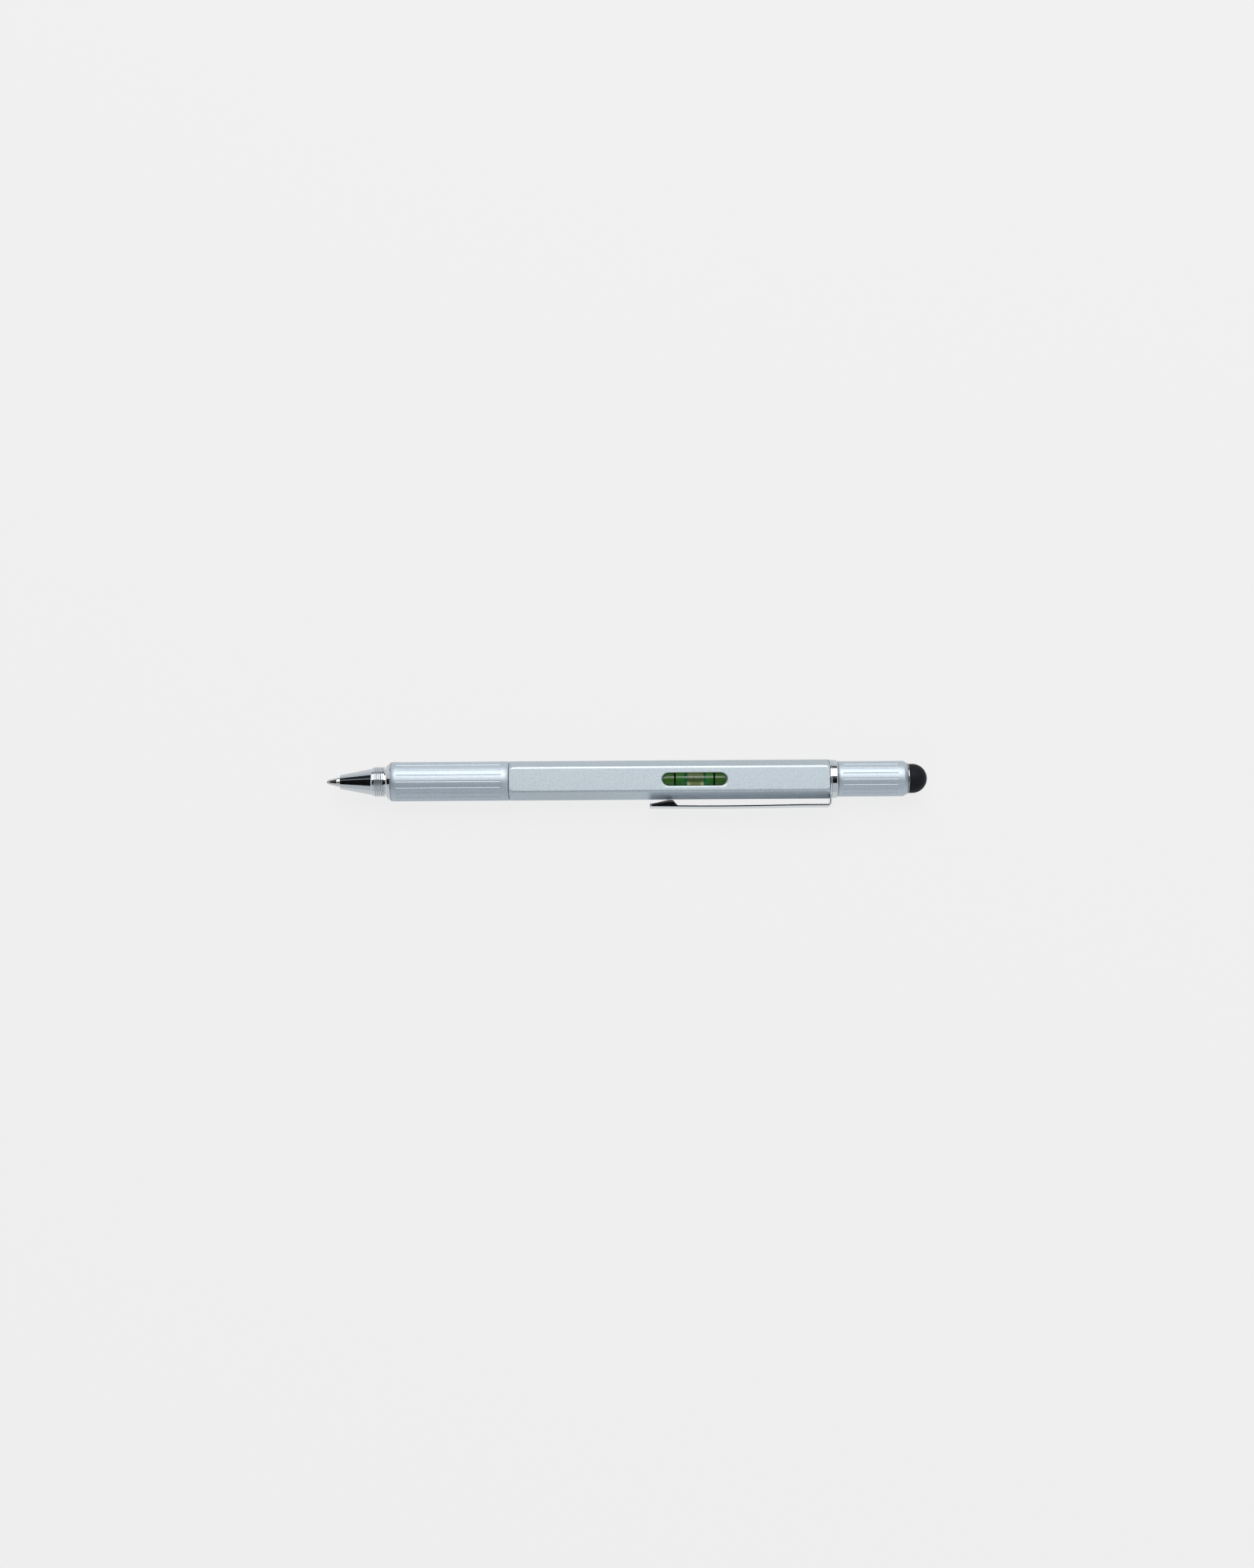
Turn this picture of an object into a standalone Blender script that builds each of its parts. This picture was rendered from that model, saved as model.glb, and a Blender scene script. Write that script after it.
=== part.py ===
"""A multi tool pen in metres, lying level with its tip towards -X, window up and clip towards -Y.

Every piece is modelled upright round the pen's own axis. There z runs from the writing tip to
the stylus, x points out through the window and y towards the clip. One empty lays the pen down.
"""

import math

import bmesh
import bpy
from mathutils import Matrix, Vector

for old in list(bpy.data.objects):
    bpy.data.objects.remove(old, do_unlink=True)

# Counts of facets
ROUND_STEPS = 40
INNER_STEPS = 32
SMALL_STEPS = 24
CORNER_STEPS = 4
DOME_STEPS = 8

# Gaps shared by every fit
SLIDE_GAP = 0.00005
SEAT_GAP = 0.00005
TWIST_JOINT_GAP = 0.0003
OVERRUN = 0.002
MERGE_DISTANCE = 0.000001

# Standard metal refill
REFILL_LENGTH = 0.067
REFILL_RADIUS = 0.00115
REFILL_WALL = 0.0002
REFILL_CONE_LENGTH = 0.0022
REFILL_SHANK_LENGTH = 0.0088
REFILL_SPIGOT_LENGTH = 0.002
REFILL_MOUTH_RADIUS = 0.00047
REFILL_PLUG_LENGTH = 0.0025
BALL_RADIUS = 0.00035
BALL_SHOWN = 0.00028
BALL_GAP = 0.00003
REFILL_AIR_LENGTH = 0.00945

# Chrome nose cone
REFILL_SHOWN = 0.00335
NOSE_CONE_LENGTH = 0.008
NOSE_TIP_RADIUS = 0.00178
NOSE_LIP = 0.0002
NOSE_BASE_RADIUS = 0.00328
NOSE_TIP_BORE_LENGTH = 0.0035
NOSE_BORE_RADIUS = 0.0022
NOSE_BAND_LENGTH = 0.00325
NOSE_BAND_RADIUS = 0.00374
NOSE_BAND_STEP = 0.0005
NOSE_RIB_PITCH = 0.00048
NOSE_RIB_DEPTH = 0.00022
NOSE_RIB_COUNT = 4
NOSE_NECK_LENGTH = 0.0004
NOSE_THREAD_RADIUS = 0.0033
NOSE_THREAD_LENGTH = 0.0074

# Bevelled ring in front of the grip
RING_LENGTH = 0.0012
RING_BEVEL_RISE = 0.00085
RING_STEP = 0.00005

# Grooved grip
GRIP_LENGTH = 0.0292
GRIP_WALL = 0.001
GRIP_THREAD_DEPTH = 0.0115
GRIP_EDGE = 0.0001
GRIP_GROOVE_START = 0.00125
GRIP_GROOVE_END = 0.00165
GROOVE_COUNT = 20
GROOVE_PHASE = math.radians(4.5)
GROOVE_RADIUS = 0.00025
GROOVE_RISE = 0.00003
GROOVE_SIDES = 8

# Mechanism that moves the refill
STROKE = 0.005
STROKE_TURN = math.pi
PIN_ANGLE = math.pi / 2
CARRIAGE_WALL = 0.0009
DRIVE_WALL = 0.0005
DRIVE_FRONT_GAP = 0.0012
DRIVE_REAR_LAND = 0.002
DRIVE_FLANGE_RISE = 0.00055
DRIVE_FLANGE_LENGTH = 0.0008
TURN_GAP = 0.00007
PIN_RADIUS = 0.0005
PIN_GAP = 0.0001
PIN_FROM_REAR = 0.0015
PIN_ROOT_RADIUS = 0.0007
CARRIAGE_LENGTH = 0.01
CARRIAGE_BACK_WALL = 0.003
BUSH_LENGTH = 0.0051
CAM_WALL = 0.0003
CAM_REAR_LAND = 0.005
CAM_SLOT_STEPS = 24
CORE_WALL = 0.00115
CORE_REAR_GAP = 0.0004

# Six sided barrel
BARREL_REAR_LENGTH = 0.0217
BARREL_WALL = 0.00065
BARREL_FACE_HALF_WIDTH = 0.00323
BARREL_CORNER_DISTANCE = 0.004945
BARREL_EDGE_RADIUS = 0.0006
BARREL_END_RADIUS = 0.00488
BARREL_CHAMFER_LENGTH = 0.001
BARREL_CHAMFER_RISE = 0.00052

# Level in the window
WINDOW_LENGTH = 0.016
WINDOW_WIDTH = 0.0034
WINDOW_EDGE = 0.0003
VIAL_RADIUS = 0.0026
VIAL_WALL = 0.0004
VIAL_LENGTH = 0.0198
VIAL_OFFSET = 0.00055
VIAL_TOP_GAP = 0.00015
VIAL_PLUG_LENGTH = 0.0014
VIAL_LEVEL_HEIGHT = 0.0013
CRADLE_FRONT_GAP = 0.0008
CRADLE_GAP = 0.00015
CRADLE_END = 0.0019
LINE_WIDTH = 0.00045
LINE_HEIGHT = 0.00008
LINE_SPACING = 0.0098
BUBBLE_LENGTH = 0.0041
BUBBLE_SIDE_GAP = 0.00017
BUBBLE_GAP = 0.00005

# Clip
COLLAR_THICKNESS = 0.00045
CLIP_THICKNESS = 0.00045
CLIP_WIDTH = 0.004
CLIP_TIP_WIDTH = 0.0034
CLIP_END_WIDTH = 0.0022
CLIP_CROWN = 0.00042
CLIP_LENGTH = 0.0453
CLIP_BEND_RADIUS = 0.0009
CLIP_STANDOFF = 0.00185
CLIP_BOW = 0.00018
CLIP_BOW_START_SHARE = 0.15
CLIP_ROUND_START_SHARE = 0.965
CLIP_BOSS_LENGTH = 0.0068
CLIP_BOSS_GAP = 0.000055
CLIP_BOSS_WIDTH = 0.0026
CLIP_TOUCH_GAP = 0.00005
CLIP_ARM_STEPS = 8
CLIP_BEND_STEPS = 6
CLIP_BOSS_STEPS = 12
CLIP_ACROSS_STEPS = 8

# Rear bush, magnet and bit
FLANGE_LENGTH = 0.0015
FLANGE_STEP = 0.0001
FLANGE_EDGE = 0.0004
BUSH_END_WALL = 0.0025
CAP_THREAD_RADIUS = 0.0033
CAP_THREAD_LENGTH = 0.00595
HEX_ACROSS = 0.004
HEX_GAP = 0.00005
SOCKET_DEPTH = 0.019
MAGNET_RADIUS = 0.0019
MAGNET_LENGTH = 0.0028
BIT_LENGTH = 0.027
BIT_END_LENGTH = 0.005
BIT_SHANK_RADIUS = 0.0015
BIT_SHOULDER = 0.0004
BLADE_THICKNESS = 0.0005
BLADE_TAPER = 0.0035
CROSS_TIP_RADIUS = 0.0004
CROSS_TAPER = 0.0022
FLUTE_SHARE = 0.45

# Cap and stylus
CAP_WALL = 0.00061
CAP_END_WALL = 0.0032
CAP_BIT_GAP = 0.00025
CAP_HOLE_RADIUS = 0.0029
CAP_END_STEP = 0.00056
CAP_END_CHAMFER = 0.0009
CAP_GROOVE_START = 0.001
CAP_GROOVE_END = 0.00235
INSERT_LENGTH = 0.00585
INSERT_WALL = 0.0004
STYLUS_RING_RADIUS = 0.0038
STYLUS_RING_LENGTH = 0.00035
STYLUS_NECK_RADIUS = 0.0025
STYLUS_NECK_LENGTH = 0.0024
RUBBER_RADIUS = 0.00365
RUBBER_LENGTH = 0.00455
RUBBER_STRAIGHT_LENGTH = 0.0009
RUBBER_WALL = 0.0008

# Radii, each from what lies inside it
DRIVE_RADIUS = REFILL_RADIUS + CARRIAGE_WALL + 2 * SLIDE_GAP + DRIVE_WALL
DRIVE_FLANGE_RADIUS = DRIVE_RADIUS + DRIVE_FLANGE_RISE
CAM_RADIUS = DRIVE_FLANGE_RADIUS + SLIDE_GAP + CAM_WALL
GRIP_BORE_RADIUS = DRIVE_RADIUS + CORE_WALL + 2 * SLIDE_GAP
GRIP_RADIUS = GRIP_BORE_RADIUS + GRIP_WALL
RING_REAR_RADIUS = GRIP_RADIUS - RING_STEP
RING_FRONT_RADIUS = RING_REAR_RADIUS - RING_BEVEL_RISE
BARREL_BORE_RADIUS = VIAL_OFFSET + VIAL_RADIUS + VIAL_TOP_GAP
BARREL_FACE_DISTANCE = CAM_RADIUS + SLIDE_GAP + BARREL_WALL
COLLAR_RADIUS = GRIP_RADIUS
FLANGE_RADIUS = COLLAR_RADIUS - FLANGE_STEP
CLIP_ROOT_DISTANCE = COLLAR_RADIUS + CLIP_STANDOFF
CLIP_BOSS_APEX = BARREL_CORNER_DISTANCE + CLIP_BOSS_GAP
CAP_BORE_RADIUS = CAP_THREAD_RADIUS + INSERT_WALL + 2 * SLIDE_GAP
CAP_RADIUS = CAP_BORE_RADIUS + CAP_WALL
CAP_END_RADIUS = CAP_RADIUS - CAP_END_STEP

# Places along the pen, measured from the writing tip
NOSE_Z = REFILL_SHOWN
BAND_Z = NOSE_Z + NOSE_CONE_LENGTH
RING_Z = BAND_Z + NOSE_BAND_LENGTH + NOSE_NECK_LENGTH
GRIP_Z = RING_Z + RING_LENGTH + SEAT_GAP
GRIP_END_Z = GRIP_Z + GRIP_LENGTH
BARREL_Z = GRIP_END_Z + TWIST_JOINT_GAP
DRIVE_Z = GRIP_Z + GRIP_THREAD_DEPTH + DRIVE_FRONT_GAP
PIN_Z = REFILL_LENGTH + PIN_FROM_REAR
SLOT_END_Z = PIN_Z + STROKE + PIN_RADIUS + PIN_GAP
CAM_END_Z = SLOT_END_Z + CAM_REAR_LAND
CRADLE_Z = CAM_END_Z + CRADLE_FRONT_GAP
VIAL_Z = CRADLE_Z + CRADLE_END + CRADLE_GAP
VIAL_END_Z = VIAL_Z + VIAL_LENGTH
CRADLE_END_Z = VIAL_END_Z + CRADLE_GAP + CRADLE_END
WINDOW_MIDDLE_Z = (VIAL_Z + VIAL_END_Z) / 2
BARREL_END_Z = CRADLE_END_Z + BARREL_REAR_LENGTH
COLLAR_Z = BARREL_END_Z + SEAT_GAP
CLIP_END_Z = COLLAR_Z + COLLAR_THICKNESS - CLIP_LENGTH
FLANGE_Z = COLLAR_Z + COLLAR_THICKNESS + SEAT_GAP
FLANGE_END_Z = FLANGE_Z + FLANGE_LENGTH
BUSH_END_Z = FLANGE_END_Z + CAP_THREAD_LENGTH
SOCKET_Z = BUSH_END_Z - SOCKET_DEPTH
MAGNET_Z = SOCKET_Z - MAGNET_LENGTH - 2 * SEAT_GAP
BIT_Z = SOCKET_Z + SEAT_GAP
BIT_END_Z = BIT_Z + BIT_LENGTH
CAP_Z = FLANGE_END_Z + SEAT_GAP
CAP_BORE_END_Z = BIT_END_Z + CAP_BIT_GAP
CAP_END_Z = CAP_BORE_END_Z + CAP_END_WALL
STYLUS_RING_Z = CAP_END_Z + SEAT_GAP
RUBBER_Z = STYLUS_RING_Z + STYLUS_RING_LENGTH + SEAT_GAP
PEN_LENGTH = RUBBER_Z + RUBBER_LENGTH

# The clip reaches furthest at the middle of its bowed arm
CLIP_REACH = CLIP_ROOT_DISTANCE + CLIP_BOW + CLIP_CROWN
LYING_Y = (CLIP_REACH - GRIP_RADIUS) / 2

pen_axis = bpy.data.objects.new("pen_axis", None)
pen_axis.rotation_euler = (math.pi, -math.pi / 2, 0)
pen_axis.location = (-PEN_LENGTH / 2, LYING_Y, GRIP_RADIUS)
bpy.context.scene.collection.objects.link(pen_axis)

cutters = bpy.data.collections.new("cutters")
cutters.hide_render = True
bpy.context.scene.collection.children.link(cutters)


def joint_empty(name, y=0, z=0):
    """An empty on a joint's axis, which the moving pieces hang on."""
    empty = bpy.data.objects.new(name, None)
    empty.parent = pen_axis
    empty.location = (0, y, z)
    bpy.context.scene.collection.objects.link(empty)
    return empty


CLIP_HINGE_Y = COLLAR_RADIUS
CLIP_HINGE_Z = COLLAR_Z + COLLAR_THICKNESS / 2
twist = joint_empty("twist_axis")
refill_travel = joint_empty("refill_travel")
nose_travel = joint_empty("nose_travel")
clip_hinge = joint_empty("clip_hinge", CLIP_HINGE_Y, CLIP_HINGE_Z)
cap_travel = joint_empty("cap_travel")
bit_travel = joint_empty("bit_travel")
bubble_travel = joint_empty("bubble_travel")


def finish(name, colour, metallic, roughness):
    """A plain material of one colour."""
    made = bpy.data.materials.new(name)
    made.use_nodes = True
    shader = made.node_tree.nodes["Principled BSDF"]
    shader.inputs["Base Color"].default_value = (*colour, 1)
    shader.inputs["Metallic"].default_value = metallic
    shader.inputs["Roughness"].default_value = roughness
    return made


def add_object(name, mesh):
    """A new object in the pen's frame."""
    made = bpy.data.objects.new(name, mesh)
    made.parent = pen_axis
    bpy.context.scene.collection.objects.link(made)
    return made


def as_cutter(made):
    """Moves an object to the hidden collection of cutters."""
    bpy.context.scene.collection.objects.unlink(made)
    cutters.objects.link(made)
    made.hide_render = True
    made.display_type = "WIRE"
    return made


def turned(name, outline, steps=ROUND_STEPS):
    """A body of revolution from (radius, z) points that run down its outer side, then up its bore."""
    points = [(radius, 0, z) for radius, z in outline]
    links = [(i, i + 1) for i in range(len(points) - 1)]
    if outline[0][0] > 0 or outline[-1][0] > 0:
        links.append((len(points) - 1, 0))
    mesh = bpy.data.meshes.new(name)
    mesh.from_pydata(points, links, [])
    made = add_object(name, mesh)
    screw = made.modifiers.new("turn", "SCREW")
    screw.axis = "Z"
    screw.angle = 2 * math.pi
    screw.steps = steps
    screw.render_steps = steps
    screw.use_merge_vertices = True
    screw.merge_threshold = MERGE_DISTANCE
    return made


def tube(name, radius, bore, low, high, steps=INNER_STEPS):
    """A plain tube or, with no bore, a rod."""
    outline = [(radius, high), (radius, low), (bore, low), (bore, high)]
    if bore == 0:
        outline = [(0, high), (radius, high), (radius, low), (0, low)]
    return turned(name, outline, steps)


def lofted(name, sections):
    """A closed body through rings of points, with a flat face on the first and the last ring."""
    shape = bmesh.new()
    rings = [[shape.verts.new(point) for point in section] for section in sections]
    for first, second in zip(rings, rings[1:]):
        for i, corner in enumerate(first):
            before = first[i - 1]
            shape.faces.new((before, corner, second[i], second[i - 1]))
    shape.faces.new(rings[0][::-1])
    shape.faces.new(rings[-1])
    bmesh.ops.recalc_face_normals(shape, faces=shape.faces)
    mesh = bpy.data.meshes.new(name)
    shape.to_mesh(mesh)
    shape.free()
    return add_object(name, mesh)


def boolean(made, operation, cutter):
    """Adds one exact Boolean step."""
    step = made.modifiers.new(operation.lower(), "BOOLEAN")
    step.operation = operation
    step.solver = "EXACT"
    step.object = as_cutter(cutter)


def complete(made, material, carrier=None, angle=math.radians(25)):
    """Bakes the modifiers, shades the piece, gives it its material and hangs it on its carrier."""
    bpy.context.view_layer.update()
    graph = bpy.context.evaluated_depsgraph_get()
    mesh = bpy.data.meshes.new_from_object(made.evaluated_get(graph))
    made.modifiers.clear()
    made.data = mesh
    mesh.name = made.name
    mesh.shade_smooth()
    mesh.set_sharp_from_angle(angle=angle)
    mesh.materials.clear()
    mesh.materials.append(material)
    if carrier:
        mesh.transform(Matrix.Translation(-carrier.location))
        made.parent = carrier
    return made


def lined_up(points, z):
    """A ring of (x, y) points at one height."""
    return [Vector((x, y, z)) for x, y in points]


def circle(radius, steps, x=0):
    """(x, y) points round a circle."""
    turns = [2 * math.pi * i / steps for i in range(steps)]
    return [(x + radius * math.cos(turn), radius * math.sin(turn)) for turn in turns]


# Refill
def build_refill():
    metal = finish("refill_metal", (0.62, 0.60, 0.55), 1, 0.3)
    steel = finish("ball_steel", (0.45, 0.45, 0.47), 1, 0.15)
    plastic = finish("carriage_plastic", (0.82, 0.82, 0.78), 0, 0.5)
    ink = finish("ink_blue", (0.02, 0.03, 0.2), 0, 0.3)
    stopper = finish("stopper_plastic", (0.7, 0.7, 0.68), 0, 0.6)

    ball = bmesh.new()
    bmesh.ops.create_uvsphere(ball, u_segments=16, v_segments=10, radius=BALL_RADIUS)
    ball_mesh = bpy.data.meshes.new("refill_ball")
    ball.to_mesh(ball_mesh)
    ball.free()
    ball_mesh.transform(Matrix.Translation((0, 0, BALL_RADIUS)))
    complete(add_object("refill_ball", ball_mesh), steel, refill_travel)

    bore = REFILL_RADIUS - REFILL_WALL
    shank_end = REFILL_CONE_LENGTH + REFILL_SHANK_LENGTH
    spigot_end = shank_end + REFILL_SPIGOT_LENGTH
    seat_radius = BALL_RADIUS + BALL_GAP
    tip = turned(
        "refill_tip",
        [
            (0, spigot_end),
            (bore - SEAT_GAP, spigot_end),
            (bore - SEAT_GAP, shank_end),
            (REFILL_RADIUS, shank_end),
            (REFILL_RADIUS, REFILL_CONE_LENGTH),
            (REFILL_MOUTH_RADIUS, BALL_SHOWN),
            (seat_radius, BALL_SHOWN),
            (seat_radius, 2 * BALL_RADIUS + BALL_GAP),
            (0, 2 * BALL_RADIUS + BALL_GAP),
        ],
        SMALL_STEPS,
    )
    complete(tip, metal, refill_travel)

    tube_start = shank_end + SEAT_GAP
    barrel_tube = tube(
        "refill_tube", REFILL_RADIUS, bore, tube_start, REFILL_LENGTH - REFILL_WALL, SMALL_STEPS
    )
    complete(barrel_tube, metal, refill_travel)
    ink_start = spigot_end + SEAT_GAP
    ink_end = REFILL_LENGTH - REFILL_PLUG_LENGTH - REFILL_AIR_LENGTH
    column = tube("refill_ink", bore - SEAT_GAP, 0, ink_start, ink_end, SMALL_STEPS)
    complete(column, ink, refill_travel)
    plug = turned(
        "refill_plug",
        [
            (0, REFILL_LENGTH),
            (bore, REFILL_LENGTH),
            (bore, REFILL_LENGTH - REFILL_WALL + SEAT_GAP),
            (bore - SEAT_GAP, REFILL_LENGTH - REFILL_WALL + SEAT_GAP),
            (bore - SEAT_GAP, REFILL_LENGTH - REFILL_PLUG_LENGTH),
            (0, REFILL_LENGTH - REFILL_PLUG_LENGTH),
        ],
        SMALL_STEPS,
    )
    complete(plug, stopper, refill_travel)

    back = REFILL_LENGTH + CARRIAGE_BACK_WALL
    front = back - CARRIAGE_LENGTH
    outer = DRIVE_RADIUS - DRIVE_WALL - SLIDE_GAP
    carriage = turned(
        "refill_carriage",
        [
            (0, back),
            (outer, back),
            (outer, front),
            (REFILL_RADIUS + SLIDE_GAP, front),
            (REFILL_RADIUS + SLIDE_GAP, REFILL_LENGTH + SEAT_GAP),
            (0, REFILL_LENGTH + SEAT_GAP),
        ],
        SMALL_STEPS,
    )
    pin_hole = round_bar("pin_hole", PIN_RADIUS + SLIDE_GAP, PIN_ROOT_RADIUS - SEAT_GAP, CAM_RADIUS)
    boolean(carriage, "DIFFERENCE", pin_hole)
    complete(carriage, plastic, refill_travel)
    pin_end = CAM_RADIUS - PIN_GAP
    pin = round_bar("carriage_pin", PIN_RADIUS, PIN_ROOT_RADIUS, pin_end)
    complete(pin, steel, refill_travel)


def round_bar(name, radius, start, end):
    """A round bar that points outwards at the pin's angle and height."""
    out = Vector((math.cos(PIN_ANGLE), math.sin(PIN_ANGLE), 0))
    aside = Vector((-out.y, out.x, 0))
    sections = [
        [out * reach + aside * a + Vector((0, 0, PIN_Z + b)) for a, b in circle(radius, 12)]
        for reach in (start, end)
    ]
    return lofted(name, sections)


# Nose cone, bevelled ring and grip
def nose_outline():
    """The nose cone's outer side from its thread to its tip, then its bore."""
    band_end = BAND_Z + NOSE_BAND_LENGTH
    thread_end = band_end + NOSE_THREAD_LENGTH
    valley = NOSE_BAND_RADIUS - NOSE_RIB_DEPTH
    outline = [
        (NOSE_THREAD_RADIUS, thread_end),
        (NOSE_THREAD_RADIUS, band_end),
        (NOSE_BAND_RADIUS, band_end),
        (NOSE_BAND_RADIUS, band_end - NOSE_RIB_PITCH / 2),
        (valley, band_end - NOSE_RIB_PITCH * 3 / 4),
    ]
    rib_top = band_end - NOSE_RIB_PITCH
    for _ in range(NOSE_RIB_COUNT):
        outline += [
            (valley, rib_top),
            (NOSE_BAND_RADIUS, rib_top - NOSE_RIB_PITCH / 4),
            (NOSE_BAND_RADIUS, rib_top - NOSE_RIB_PITCH / 2),
            (valley, rib_top - NOSE_RIB_PITCH * 3 / 4),
        ]
        rib_top -= NOSE_RIB_PITCH
    thin_radius = REFILL_RADIUS + 2 * SLIDE_GAP
    outline += [
        (valley, BAND_Z + NOSE_BAND_STEP),
        (NOSE_BASE_RADIUS, BAND_Z),
        (NOSE_TIP_RADIUS, NOSE_Z + NOSE_LIP),
        (NOSE_TIP_RADIUS - NOSE_LIP, NOSE_Z),
        (thin_radius, NOSE_Z),
        (thin_radius, NOSE_Z + NOSE_TIP_BORE_LENGTH),
        (NOSE_BORE_RADIUS, NOSE_Z + NOSE_TIP_BORE_LENGTH + NOSE_BORE_RADIUS - thin_radius),
        (NOSE_BORE_RADIUS, thread_end),
    ]
    return outline


def grooves(name, radius, low, high):
    """Round bars all round a sleeve, which cut its grooves."""
    shape = bmesh.new()
    for i in range(GROOVE_COUNT):
        turn = GROOVE_PHASE + 2 * math.pi * i / GROOVE_COUNT
        out = Vector((math.cos(turn), math.sin(turn), 0))
        aside = Vector((-out.y, out.x, 0))
        rings = []
        for z in (low, high):
            middle = out * (radius + GROOVE_RISE) + Vector((0, 0, z))
            around = circle(GROOVE_RADIUS, GROOVE_SIDES)
            rings.append([shape.verts.new(middle + out * a + aside * b) for a, b in around])
        for j in range(GROOVE_SIDES):
            shape.faces.new((rings[0][j - 1], rings[0][j], rings[1][j], rings[1][j - 1]))
        shape.faces.new(rings[0][::-1])
        shape.faces.new(rings[1])
    bmesh.ops.recalc_face_normals(shape, faces=shape.faces)
    mesh = bpy.data.meshes.new(name)
    shape.to_mesh(mesh)
    shape.free()
    return add_object(name, mesh)


def build_grip():
    chrome = finish("nose_chrome", (0.75, 0.76, 0.78), 1, 0.06)
    bright = finish("ring_chrome", (0.74, 0.75, 0.77), 1, 0.08)
    aluminium = finish("grip_aluminium", (0.56, 0.61, 0.66), 1, 0.3)
    complete(turned("nose_cone", nose_outline()), chrome, nose_travel)

    ring_end = RING_Z + RING_LENGTH
    ring_bore = NOSE_THREAD_RADIUS + 2 * SLIDE_GAP
    ring = turned(
        "grip_ring",
        [
            (RING_REAR_RADIUS, ring_end),
            (RING_REAR_RADIUS, ring_end - GRIP_EDGE),
            (RING_FRONT_RADIUS, RING_Z),
            (ring_bore, RING_Z),
            (ring_bore, ring_end),
        ],
    )
    complete(ring, bright, twist)

    thread_end = GRIP_Z + GRIP_THREAD_DEPTH
    sleeve = turned(
        "grip_sleeve",
        [
            (GRIP_RADIUS - GRIP_EDGE, GRIP_END_Z),
            (GRIP_RADIUS, GRIP_END_Z - GRIP_EDGE),
            (GRIP_RADIUS, GRIP_Z + GRIP_EDGE),
            (GRIP_RADIUS - GRIP_EDGE, GRIP_Z),
            (ring_bore, GRIP_Z),
            (ring_bore, thread_end),
            (GRIP_BORE_RADIUS, thread_end),
            (GRIP_BORE_RADIUS, GRIP_END_Z),
        ],
    )
    groove_bars = grooves(
        "grip_grooves", GRIP_RADIUS, GRIP_Z + GRIP_GROOVE_START, GRIP_END_Z - GRIP_GROOVE_END
    )
    boolean(sleeve, "DIFFERENCE", groove_bars)
    complete(sleeve, aluminium, twist)


# Drive tube, cam sleeve and their bushes
def helical_slot(name):
    """The path of the pin through the cam sleeve, as a bar of square section round a helix."""
    half_width = PIN_RADIUS + PIN_GAP
    slope = STROKE / (STROKE_TURN * CAM_RADIUS)
    half_height = half_width * math.sqrt(1 + slope * slope)
    reach = half_width / DRIVE_RADIUS
    sections = []
    for i in range(CAM_SLOT_STEPS + 1):
        turn = -reach + (STROKE_TURN + 2 * reach) * i / CAM_SLOT_STEPS
        z = PIN_Z + STROKE * turn / STROKE_TURN
        out = Vector((math.cos(PIN_ANGLE + turn), math.sin(PIN_ANGLE + turn), 0))
        inner = out * DRIVE_RADIUS
        outer = out * (CAM_RADIUS + PIN_RADIUS)
        rise = Vector((0, 0, half_height))
        height = Vector((0, 0, z))
        corners = (inner - rise, outer - rise, outer + rise, inner + rise)
        sections.append([corner + height for corner in corners])
    return lofted(name, sections)


def straight_slot(name):
    """The pin's slot along the drive tube."""
    half_width = PIN_RADIUS + PIN_GAP
    out = Vector((math.cos(PIN_ANGLE), math.sin(PIN_ANGLE), 0))
    aside = Vector((-out.y, out.x, 0)) * half_width
    inner = out * (DRIVE_RADIUS - DRIVE_WALL - PIN_RADIUS)
    outer = out * (DRIVE_RADIUS + PIN_RADIUS)
    sections = []
    for z in (PIN_Z - half_width, SLOT_END_Z):
        height = Vector((0, 0, z))
        corners = (inner - aside, outer - aside, outer + aside, inner + aside)
        sections.append([corner + height for corner in corners])
    return lofted(name, sections)


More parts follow.
